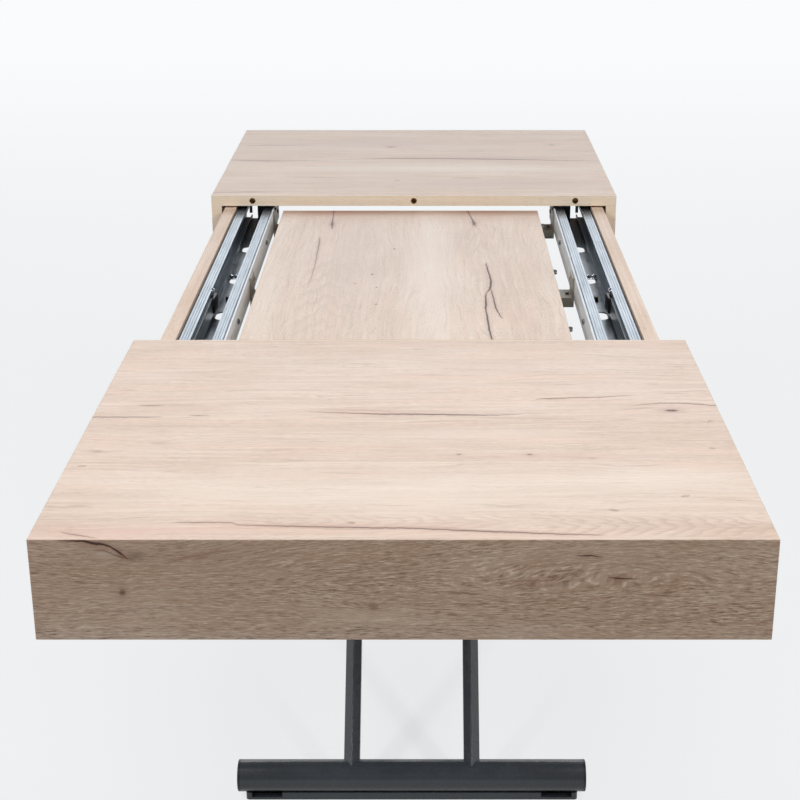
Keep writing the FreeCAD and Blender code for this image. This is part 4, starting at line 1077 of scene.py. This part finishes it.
class Bench:
    """A mesh being worked on until it becomes a piece of the table."""

    def __init__(self) -> None:
        """Start with an empty mesh."""
        self.mesh = bmesh.new()

    def shape(self, build: Callable[[BMesh], None], place: Matrix) -> None:
        """Build one shape about the origin and put it in its place.

        Args:
            build: Builder of the shape, in metres.
            place: Where the shape goes.
        """
        old = set(self.mesh.verts)
        build(self.mesh)
        fresh = [vert for vert in self.mesh.verts if vert not in old]
        bmesh.ops.transform(self.mesh, matrix=place, verts=fresh)

    def piece(self, name: str, body: str, finish: Finish, slot: str, *replaces: str) -> None:
        """Turn the mesh into a piece that rides on a body.

        Args:
            name: Name of the piece.
            body: Body that it rides on.
            finish: Its finish.
            slot: Not used.
            replaces: CAD nodes that it stands for.
        """
        bmesh.ops.remove_doubles(self.mesh, verts=self.mesh.verts, dist=WELD)
        bmesh.ops.recalc_face_normals(self.mesh, faces=self.mesh.faces)
        for face in self.mesh.faces:
            face.smooth = True
        for edge in self.mesh.edges:
            edge.smooth = len(edge.link_faces) == 2 and edge.calc_face_angle() < SMOOTH_BELOW
        data = bpy.data.meshes.new(name)
        self.mesh.to_mesh(data)
        self.mesh.free()
        made = bpy.data.objects.new(name, data)
        bpy.context.scene.collection.objects.link(made)
        data.materials.append(material_of(finish))
        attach(made, body)
        if replaces:
            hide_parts(*replaces)
        LOG.info("made %s on %s, %d faces", name, body, len(data.polygons))


def spun(mesh: BMesh, geom: Sequence[Any], steps: int = 32) -> None:
    """Spin a profile once round the Z axis."""
    bmesh.ops.spin(
        mesh, geom=geom, cent=(0, 0, 0), axis=(0, 0, 1), angle=2 * math.pi, steps=steps, use_merge=True
    )


def turned(mesh: BMesh, profile: Profile) -> list[bmesh.types.BMEdge]:
    """Turn a profile round the Z axis, as on a lathe.

    Args:
        mesh: Mesh that takes the shape.
        profile: Radius and height of each point, in metres.

    Returns:
        The open edges of the shape.
    """
    old = set(mesh.edges)
    verts = [mesh.verts.new((radius, 0.0, height)) for radius, height in profile]
    edges = [mesh.edges.new(ends) for ends in zip(verts, verts[1:])]
    spun(mesh, verts + edges)
    fresh = [vert for vert in mesh.verts if not old.intersection(vert.link_edges)]
    bmesh.ops.remove_doubles(mesh, verts=fresh, dist=WELD)
    return [edge for edge in mesh.edges if edge not in old and len(edge.link_faces) == 1]


def domed(mesh: BMesh, reach: float, base: float, rise: float) -> None:
    """Dome about the Z axis.

    Args:
        mesh: Mesh that takes the dome.
        reach: Radius of its foot in metres.
        base: Height of its foot.
        rise: Height of the dome above its foot.
    """
    arc = [math.radians(angle) for angle in range(0, 91, 15)]
    turned(mesh, [(reach * math.cos(turn), base + rise * math.sin(turn)) for turn in arc])


def towards(direction: Sequence[float], at: Sequence[float]) -> Matrix:
    """Placement that turns the Z axis towards a direction.

    Args:
        direction: New direction of the Z axis.
        at: New place of the origin, in metres.

    Returns:
        The placement.
    """
    turn = Vector(direction).to_track_quat("Z", "Y").to_matrix().to_4x4()
    return Matrix.Translation(Vector(at)) @ turn


def mirrored(at: Sequence[float], side: int) -> tuple[float, ...]:
    """A place on the right of the table, or on the left where side is -1."""
    return (side * at[0], *at[1:])


def rounded(mesh: BMesh, edges: Iterable[bmesh.types.BMEdge], radius: float, steps: int = 3) -> None:
    """Round edges off.

    Args:
        mesh: Mesh that holds the edges.
        edges: The edges.
        radius: Size of the rounding in metres.
        steps: Number of steps round it.
    """
    bmesh.ops.bevel(
        mesh,
        geom=list(edges),
        offset=radius,
        offset_type="OFFSET",
        segments=steps,
        profile=0.5,
        affect="EDGES",
        material=-1,
    )


def slab(mesh: BMesh, size: Sequence[float], radius: float, taper: float = 1.0) -> None:
    """Block about the origin with rounded edges.

    Args:
        mesh: Mesh that takes the block.
        size: Its three sizes in metres.
        radius: Rounding of its edges.
        taper: Share of its width that is left at its low Y end.
    """
    verts = bmesh.ops.create_cube(mesh, size=1.0)["verts"]
    bmesh.ops.scale(mesh, vec=size, verts=verts)
    bmesh.ops.scale(mesh, vec=(taper, 1.0, 1.0), verts=[vert for vert in verts if vert.co.y < 0])
    rounded(mesh, {edge for vert in verts for edge in vert.link_edges}, radius)


def raised(mesh: BMesh, base: Sequence[bmesh.types.BMFace], rise: float, edge: float) -> None:
    """Draw faces up into a solid with a rounded top edge.

    Args:
        mesh: Mesh that holds the faces.
        base: The faces.
        rise: Height of the solid in metres.
        edge: Rounding of its top edge.
    """
    grown = bmesh.ops.extrude_face_region(mesh, geom=base)["geom"]
    top = [item for item in grown if isinstance(item, bmesh.types.BMVert)]
    bmesh.ops.translate(mesh, vec=(0, 0, rise), verts=top)
    rounded(mesh, [item for item in grown if isinstance(item, bmesh.types.BMEdge)], edge, 2)


def six_sided(mesh: BMesh, radius: float, base: float, rise: float, edge: float) -> None:
    """Six-sided head about the Z axis.

    Args:
        mesh: Mesh that takes the head.
        radius: Radius to its corners in metres.
        base: Height of its foot.
        rise: Height of the head above its foot.
        edge: Rounding of its top edge.
    """
    place = Matrix.Translation((0, 0, base))
    verts = bmesh.ops.create_circle(mesh, cap_ends=True, segments=6, radius=radius, matrix=place)["verts"]
    raised(mesh, [face for face in verts[0].link_faces if len(face.verts) == 6], rise, edge)


def ring(mesh: BMesh, radius: float, wire: float) -> None:
    """Closed wire ring about the Z axis.

    Args:
        mesh: Mesh that takes the ring.
        radius: Radius of the ring in metres.
        wire: Radius of its wire.
    """
    stand = Matrix.Translation((radius, 0, 0)) @ Matrix.Rotation(math.pi / 2, 4, "X")
    verts = bmesh.ops.create_circle(mesh, segments=10, radius=wire, matrix=stand)["verts"]
    edges = {edge for vert in verts for edge in vert.link_edges}
    spun(mesh, [*verts, *edges], 28)


@dataclass
class TableHalf:
    """One half of the table top with its walls, runners and edge fittings."""

    name: str
    top: Finish
    end: Finish
    side: Finish
    fittings: tuple[str, Finish]
    brackets: Finish

    def runner_blocks(self) -> None:
        """Give the end blocks of the runners their plastic."""
        dress(BLACK_PLASTIC, f"{self.name}_runner_end_blocks")

    def dress(self) -> None:
        """Give every node of the half its finish."""
        kind, metal = self.fittings
        finishes = {
            "top_panel": self.top,
            "fascia": self.end,
            "sides": self.side,
            "edge_bands": EDGE_ACROSS,
            f"edge_{kind}": metal,
            "runners": DARK_RUNNER,
            "runner_brackets": self.brackets,
            "bracket_screws": ZINC_STEEL,
        }
        for node, finish in finishes.items():
            dress(finish, f"{self.name}_{node}")
        self.runner_blocks()


@dataclass
class FrontHalf(TableHalf):
    """Front half, whose runners end in tapered blocks that show in the well."""

    block_at: Triple = (295.0 * MM, -96.0 * MM, 715.0 * MM)
    block_size: Triple = (9.4 * MM, 29.6 * MM, 25.0 * MM)
    block_edge: float = 2.4 * MM
    block_taper: float = 0.62
    tongue_at: Triple = (305.2 * MM, -96.0 * MM, 715.0 * MM)
    tongue_size: Triple = (10.6 * MM, 29.6 * MM, 34.0 * MM)
    tongue_edge: float = 1.6 * MM
    eye_at: Triple = (295.6 * MM, -99.0 * MM, 737.4 * MM)
    eye_lean: Triple = (0.0, 0.6, -0.8)
    eye: float = 2.4 * MM
    eye_wire: float = 0.75 * MM
    shank_size: Triple = (2.4 * MM, 5.0 * MM, 8.4 * MM)
    shank_edge: float = 0.7 * MM
    shank_drop: float = 3.4 * MM

    def runner_blocks(self) -> None:
        """Black stop blocks on the far ends of the runners, each with a wire eye on its top."""
        blocks, eyes = Bench(), Bench()
        for side in (-1, 1):
            place = Matrix.Translation(mirrored(self.block_at, side))
            blocks.shape(lambda mesh: slab(mesh, self.block_size, self.block_edge, self.block_taper), place)
            place = Matrix.Translation(mirrored(self.tongue_at, side))
            blocks.shape(lambda mesh: slab(mesh, self.tongue_size, self.tongue_edge), place)
            x, y, z = mirrored(self.eye_at, side)
            eyes.shape(lambda mesh: ring(mesh, self.eye, self.eye_wire), towards(self.eye_lean, (x, y, z)))
            place = Matrix.Translation((x, y, z - self.eye - self.shank_drop))
            eyes.shape(lambda mesh: slab(mesh, self.shank_size, self.shank_edge), place)
        blocks.piece(
            "front_runner_blocks", "front_half", BLACK_PLASTIC, "black_plastic", "front_runner_end_blocks"
        )
        eyes.piece("front_runner_eyes", "front_half", ZINC_STEEL, "steel")


@dataclass
class SideUnits:
    """Fixed frame along both sides, with its screws and bolts."""

    head: float = 4.5 * MM
    rise: float = 3.0 * MM
    screw_profile: Profile = ((0.4, 0.0), (1.0, 0.0), (1.0, 0.25), (0.94, 0.55), (0.8, 0.85), (0.62, 1.0))
    flange_profile: Profile = ((0.3, 0.0), (1.0, 0.0), (1.0, 0.6), (0.6, 1.0))
    socket: float = 2.1 * MM
    bolt: float = 3.5 * MM
    plate_face: float = 249.5 * MM
    screw_height: float = 716.0 * MM
    screw_pitch: float = 218.0 * MM
    screw_shift: float = 30.0 * MM
    bolt_at: float = 240.5 * MM
    bolt_seat: float = 701.0 * MM
    bolt_pitch: float = 410.0 * MM
    catch_at: Triple = (283.0 * MM, 105.0 * MM, 695.0 * MM)
    catch_plate: Triple = (28.6 * MM, 17.6 * MM, 2.0 * MM)
    catch_edge: float = 0.6 * MM
    knobs_at: Pair = (1.6 * MM, 10.0 * MM)
    knob: float = 4.6 * MM
    knob_rise: float = 3.4 * MM
    lobes: int = 5
    waist: float = 0.62

    def dress(self) -> None:
        """Give every node of the side units its finish."""
        dress(APRON_OAK, "side_aprons")
        dress(BLACK_PLASTIC, "apron_spacers", "tray_stops")
        dress(TRAY_SHEET, "slide_trays")
        dress(TRACK_ALUMINIUM, "outer_tracks", "inner_tracks")
        dress(PALE_PAINT, "frame_sides")

    def star_knob(self, mesh: BMesh) -> None:
        """Lobed knob with a domed middle, standing on Z = 0."""
        old = set(mesh.faces)
        points = 2 * self.lobes
        verts = bmesh.ops.create_circle(mesh, cap_ends=True, segments=points, radius=self.knob)["verts"]
        bmesh.ops.scale(mesh, vec=(self.waist, self.waist, 1.0), verts=verts[::2])
        soft = 0.3 * self.knob
        bmesh.ops.bevel(
            mesh, geom=verts, offset=soft, segments=3, profile=0.5, affect="VERTICES", material=-1
        )
        raised(mesh, [face for face in mesh.faces if face not in old], self.knob_rise, 0.12 * self.knob)
        domed(mesh, 0.5 * self.knob, self.knob_rise, 0.3 * self.knob)

    def catches(self) -> None:
        """Plate with two star knobs in each tray."""
        bench = Bench()
        for side in (-1, 1):
            x, y, z = mirrored(self.catch_at, side)
            lift = Matrix.Translation((x, y, z + self.catch_plate[2] / 2))
            bench.shape(lambda mesh: slab(mesh, self.catch_plate, self.catch_edge), lift)
            for out in self.knobs_at:
                at = (x + side * out, y, z + self.catch_plate[2])
                turn = Matrix.Rotation(out / self.knob, 4, "Z")
                bench.shape(self.star_knob, Matrix.Translation(at) @ turn)
        bench.piece("tray_star_catches", "top_frame", CATCH_CHROME, "steel", "tray_catches")

    def button_screw(self, mesh: BMesh) -> None:
        """Domed screw head with a six-sided socket, standing on Z = 0."""
        rim = turned(mesh, [(out * self.head, up * self.rise) for out, up in self.screw_profile])
        lip_loop = [edge for edge in rim if min(vert.co.z for vert in edge.verts) > 0.9 * self.rise]
        place = Matrix.Translation((0, 0, self.rise))
        mouth = bmesh.ops.create_circle(mesh, segments=6, radius=self.socket, matrix=place)["verts"]
        mouth_loop = list({edge for vert in mouth for edge in vert.link_edges})
        floor = bmesh.ops.extrude_edge_only(mesh, edges=mouth_loop)["geom"]
        bmesh.ops.bridge_loops(mesh, edges=lip_loop + mouth_loop)
        sunk = [item for item in floor if isinstance(item, bmesh.types.BMVert)]
        bmesh.ops.translate(mesh, vec=(0, 0, -0.7 * self.rise), verts=sunk)
        bmesh.ops.contextual_create(mesh, geom=sunk)

    def flanged_bolt(self, mesh: BMesh) -> None:
        """Six-sided bolt head on a round flange, standing on Z = 0."""
        flange = 0.28 * self.rise
        turned(mesh, [(out * self.bolt, up * flange) for out, up in self.flange_profile])
        six_sided(mesh, 0.8 * self.bolt, 0.5 * flange, self.rise - 0.5 * flange, 0.14 * self.bolt)

    def fasteners(self) -> None:
        """Screws along the frame sides and bolts on the cross bars."""
        bench = Bench()
        for side in (-1, 1):
            for step in range(-1, 3):
                at = (side * self.plate_face, self.screw_shift + step * self.screw_pitch, self.screw_height)
                bench.shape(self.button_screw, towards((-side, 0, 0), at))
            for step in (-1, 0, 1):
                at = (side * self.bolt_at, step * self.bolt_pitch, self.bolt_seat)
                bench.shape(self.flanged_bolt, towards((0, 0, 1), at))
        bench.piece("frame_fasteners", "top_frame", DARK_STEEL, "steel", "frame_screws")


@dataclass
class CrossBars:
    """Three bars across the well."""

    def dress(self) -> None:
        """Give the bars their paint."""
        dress(TAUPE_PAINT, "cross_bar_front", "cross_bar_middle", "cross_bar_rear")


@dataclass
class StoredLeaves:
    """Two loose leaves in the well."""

    def dress(self) -> None:
        """Give both leaves and their fittings their finishes."""
        dress(UPPER_LEAF, "leaf_upper_board")
        dress(LOWER_LEAF, "leaf_lower_board")
        dress(DARK_STEEL, "leaf_upper_pegs", "leaf_lower_pegs")
        dress(SOCKET_BRASS, "leaf_upper_sockets", "leaf_lower_sockets")
        dress(DARK_FELT, "leaf_upper_dots")


@dataclass
class Foot:
    """One round foot with its floor strip."""

    name: str
    side: int
    strip_size: Triple = (502.0 * MM, 34.0 * MM, 12.0 * MM)
    strip_edge: float = 5.0 * MM
    recess: Pair = (196.0 * MM, 242.0 * MM)
    recess_depth: float = 7.0 * MM
    recess_sill: float = 4.0 * MM
    spread: float = 310.0 * MM

    def strip(self, mesh: BMesh) -> None:
        """Floor strip about the origin, with a recess near each end of both long faces."""
        sill = self.recess_sill - self.strip_size[2] / 2
        verts = bmesh.ops.create_cube(mesh, size=1.0)["verts"]
        bmesh.ops.scale(mesh, vec=self.strip_size, verts=verts)
        upright = [
            edge
            for edge in {edge for vert in verts for edge in vert.link_edges}
            if abs(edge.verts[0].co.z - edge.verts[1].co.z) > 0.5 * self.strip_size[2]
        ]
        rounded(mesh, upright, self.strip_edge, 4)
        cuts = [((side * at, 0, 0), (1, 0, 0)) for side in (-1, 1) for at in self.recess]
        cuts.append(((0, 0, sill), (0, 0, 1)))
        for place, facing in cuts:
            geom = [*mesh.verts, *mesh.edges, *mesh.faces]
            bmesh.ops.bisect_plane(mesh, geom=geom, plane_co=place, plane_no=facing, dist=0.1 * WELD)
        for face in list(mesh.faces):
            middle = face.calc_center_median()
            inside = self.recess[0] < abs(middle.x) < self.recess[1]
            if inside and abs(face.normal.y) > 0.9 and middle.z > sill:
                push = -math.copysign(self.recess_depth, middle.y)
                pocket = bmesh.ops.extrude_discrete_faces(mesh, faces=[face])["faces"]
                bmesh.ops.translate(mesh, vec=(0, push, 0), verts=list(pocket[0].verts))

    def floor_strip(self) -> None:
        """Recessed strip between the tube and the floor."""
        bench = Bench()
        bench.shape(self.strip, Matrix.Translation((0, self.side * self.spread, self.strip_size[2] / 2)))
        foot = f"{self.name}_foot"
        bench.piece(f"{foot}_strip", foot, GRAPHITE, "graphite_paint", f"{foot}_glide")

    def dress(self) -> None:
        """Give the foot its paint and its plastic."""
        dress(GRAPHITE, f"{self.name}_foot_tube", f"{self.name}_foot_lugs")
        self.floor_strip()
        dress(BLACK_PLASTIC, f"{self.name}_end_caps")
        dress(DARK_STEEL, f"{self.name}_foot_spindle")


@dataclass
class Scissor:
    """Crossed arms with their shafts."""

    hub_height: float = 348.0 * MM
    nut_face: float = 109.0 * MM
    nut: float = 10.5 * MM
    dome: float = 6.0 * MM

    def dress(self) -> None:
        """Give the arms and shafts their finishes."""
        dress(GRAPHITE, "front_arms", "rear_arms")
        dress(ZINC_STEEL, "hub_shaft", "slider_axle")

    def dome_nut(self, mesh: BMesh) -> None:
        """Domed six-sided nut, standing on Z = 0."""
        half = 0.5 * self.dome
        six_sided(mesh, self.nut, 0.0, half, 0.12 * self.nut)
        domed(mesh, 0.78 * self.nut, 0.9 * half, 1.1 * half)

    def hub_nuts(self) -> None:
        """Domed nuts on both ends of the hub shaft."""
        bench = Bench()
        for side in (-1, 1):
            place = towards((side, 0, 0), (side * self.nut_face, 0, self.hub_height))
            bench.shape(self.dome_nut, place)
        bench.piece("hub_dome_nuts", "front_scissor", ZINC_STEEL, "steel")


@dataclass
class LiftFrame:
    """Channels, pivots and rollers under the top."""

    def dress(self) -> None:
        """Give the channels, pivots and rollers their finishes."""
        dress(GRAPHITE, "lift_channels")
        dress(BLACK_PLASTIC, "channel_end_stops", "pivot_bushes")
        dress(ZINC_STEEL, "pivot_shaft")
        dress(ROLLER_PLASTIC, "slider_rollers")


@dataclass
class GasSprings:
    """Two gas springs with their lever and anchor."""

    def dress(self) -> None:
        """Give the springs and what they act on their finishes."""
        dress(GRAPHITE, "spring_lever", "gas_spring_anchor")
        dress(BLACK_PLASTIC, "gas_spring_cylinders")
        dress(ZINC_STEEL, "gas_spring_rods")


@dataclass
class Studio:
    """Pale floor, light from above and behind, and the camera of the photograph."""

    floor_size: float = 60.0
    floor_tint: Colour = shade(248, 249, 250)
    near_white: Colour = shade(252, 254, 255)
    far_white: Colour = shade(251, 252, 254)
    glow: Pair = (0.78, 0.98)
    glow_grows: Pair = (500.0, 8000.0)
    # Painted shadow: size in mm of the soft oval under the table where less glow shows, and how much less.
    painted_shadow_pool: Pair = (430.0, 520.0)
    painted_shadow_share: float = 0.11
    floor_bounce: Colour = shade(130, 132, 134)
    ambient: float = 0.12
    sky: Colour = (0.97, 0.985, 1.0, 1.0)
    ceiling: Colour = (0.3, 0.3, 0.3, 1.0)
    overhead: Pair = (0.5, 0.95)
    in_front: Pair = (-0.3, -0.85)
    softbox_at: Triple = (1.46, -1.15, 2.8)
    softbox_size: Pair = (1.2, 1.2)
    softbox_power: float = 19.0
    screen_at: Triple = (0.0, 9.5, 5.9)
    screen_size: Pair = (8.0, 4.0)
    screen_power: float = 275.0
    fill_at: Triple = (2.24, -2.57, 2.8)
    fill_size: Pair = (0.34, 0.34)
    fill_power: float = 31.0
    aim: Triple = (0.0, 0.0, 0.5)
    eye: Triple = (0.0216, -2.384, 1.4234)
    look_down: float = 20.66
    lens: float = 72.0
    sensor: float = 36.0
    farthest: float = 200.0
    sideways: float = -0.0325

    def floor(self) -> None:
        """Large pale floor that glows to the camera and keeps the shadow, with a soft painted shadow under
        the table.
        """
        mesh = bmesh.new()
        bmesh.ops.create_grid(mesh, x_segments=1, y_segments=1, size=self.floor_size / 2)
        data = bpy.data.meshes.new("studio_floor")
        mesh.to_mesh(data)
        mesh.free()
        floor = bpy.data.objects.new("studio_floor", data)
        bpy.context.scene.collection.objects.link(floor)
        material = bpy.data.materials.new("studio_floor")
        material.use_nodes = True
        graph = Graph(material.node_tree)
        sideways, onwards = graph.split(graph.place(), "XY")
        away = onwards.ease(*self.glow_grows)
        seen = self.seen(graph)
        white = graph.mix(away, self.near_white, self.far_white)
        glow = graph.signal("ShaderNodeEmission", None, {"Color": white})
        tint = graph.mix(seen, self.floor_bounce, self.floor_tint)
        lit = graph.signal("ShaderNodeBsdfDiffuse", None, {"Color": tint})
        # Partly painted shadow: less glow in an oval under the table darkens the floor there, lit or not,
        # and also lets the real shadows show more.
        reach, depth = sideways / self.painted_shadow_pool[0], onwards / self.painted_shadow_pool[1]
        painted_shadow_pool = (reach * reach + depth * depth).decay() * self.painted_shadow_share
        share = seen * (self.glow[0] + away * (self.glow[1] - self.glow[0]) - painted_shadow_pool)
        surface = graph.signal("ShaderNodeMixShader", None, {0: share, 1: lit, 2: glow})
        graph.node("ShaderNodeOutputMaterial", None, {"Surface": surface})
        data.materials.append(material)

    @staticmethod
    def seen(graph: Graph) -> Signal:
        """One where the camera, a reflection or a clear part looks, else zero."""
        path = graph.node("ShaderNodeLightPath")
        camera, glossy, clear = (
            Signal(graph, path.outputs[f"Is {kind} Ray"]) for kind in ("Camera", "Glossy", "Transmission")
        )
        return camera.greater(glossy).greater(clear)

    def world(self) -> None:
        """White walls, darker overhead and in front to a reflection, and a plain level of light."""
        world = bpy.data.worlds.new("studio")
        bpy.context.scene.world = world
        world.use_nodes = True
        graph = Graph(world.node_tree)
        direction = graph.signal("ShaderNodeTexCoord", None, None, "Generated")
        onwards, up = graph.split(direction, "YZ")
        dimmed = up.ease(*self.overhead).greater(onwards.ease(*self.in_front))
        glossy = graph.signal("ShaderNodeLightPath", None, None, "Is Glossy Ray")
        shades = graph.mix(dimmed * glossy, (1.0, 1.0, 1.0, 1.0), self.ceiling)
        walls = graph.signal("ShaderNodeBackground", None, {"Color": shades})
        plain = graph.signal("ShaderNodeBackground", None, {"Color": self.sky, "Strength": self.ambient})
        surface = graph.signal("ShaderNodeMixShader", None, {0: self.seen(graph), 1: plain, 2: walls})
        graph.node("ShaderNodeOutputWorld", None, {"Surface": surface})

    def lamp(self, name: str, at: Sequence[float], size: Pair, power: float) -> None:
        """One soft lamp that faces the table.

        Args:
            name: Name of the lamp.
            at: Its place in metres.
            size: Width and height of its face.
            power: Power in watts.
        """
        lamp = bpy.data.lights.new(name, "AREA")
        lamp.shape = "RECTANGLE"
        lamp.size, lamp.size_y = size
        lamp.energy = power
        placed = bpy.data.objects.new(name, lamp)
        facing = Vector(self.aim) - Vector(at)
        placed.matrix_world = Matrix.Translation(at) @ facing.to_track_quat("-Z", "Y").to_matrix().to_4x4()
        placed.visible_camera = False
        bpy.context.scene.collection.objects.link(placed)

    def lamps(self) -> None:
        """Softboxes over both sides, a small pair in front and a wide screen behind."""
        for side, name in ((-1, "left"), (1, "right")):
            at = mirrored(self.softbox_at, side)
            self.lamp(f"softbox_{name}", at, self.softbox_size, self.softbox_power)
            at = mirrored(self.fill_at, side)
            self.lamp(f"front_fill_{name}", at, self.fill_size, self.fill_power)
        self.lamp("rear_screen", self.screen_at, self.screen_size, self.screen_power)

    def camera(self) -> None:
        """Camera at the photograph's angle."""
        lens = bpy.data.cameras.new("photograph")
        lens.lens = self.lens
        lens.sensor_width = self.sensor
        lens.shift_x = self.sideways
        lens.clip_end = self.farthest
        placed = bpy.data.objects.new("photograph", lens)
        placed.location = self.eye
        placed.rotation_euler = (math.radians(90.0 - self.look_down), 0.0, 0.0)
        bpy.context.scene.collection.objects.link(placed)
        bpy.context.scene.camera = placed

    def build(self) -> None:
        """Set the whole studio."""
        bpy.context.scene.view_settings.view_transform = "Standard"
        self.floor()
        self.world()
        self.lamps()
        self.camera()


def main() -> None:
    """Dress the table and set the studio."""
    logging.basicConfig(level=logging.INFO, format="%(name)s: %(message)s")
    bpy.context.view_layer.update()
    FrontHalf("front", FRONT_TOP, FRONT_END, FRONT_SIDE, ("pegs", DARK_STEEL), ZINC_STEEL).dress()
    TableHalf("rear", REAR_TOP, REAR_END, REAR_SIDE, ("sockets", SOCKET_BRASS), DARK_RUNNER).dress()
    sides = SideUnits()
    sides.dress()
    sides.fasteners()
    sides.catches()
    CrossBars().dress()
    StoredLeaves().dress()
    for name, side in (("front", -1), ("rear", 1)):
        Foot(name, side).dress()
    scissor = Scissor()
    scissor.dress()
    scissor.hub_nuts()
    LiftFrame().dress()
    GasSprings().dress()
    Studio().build()


if __name__ == "__main__":
    main()
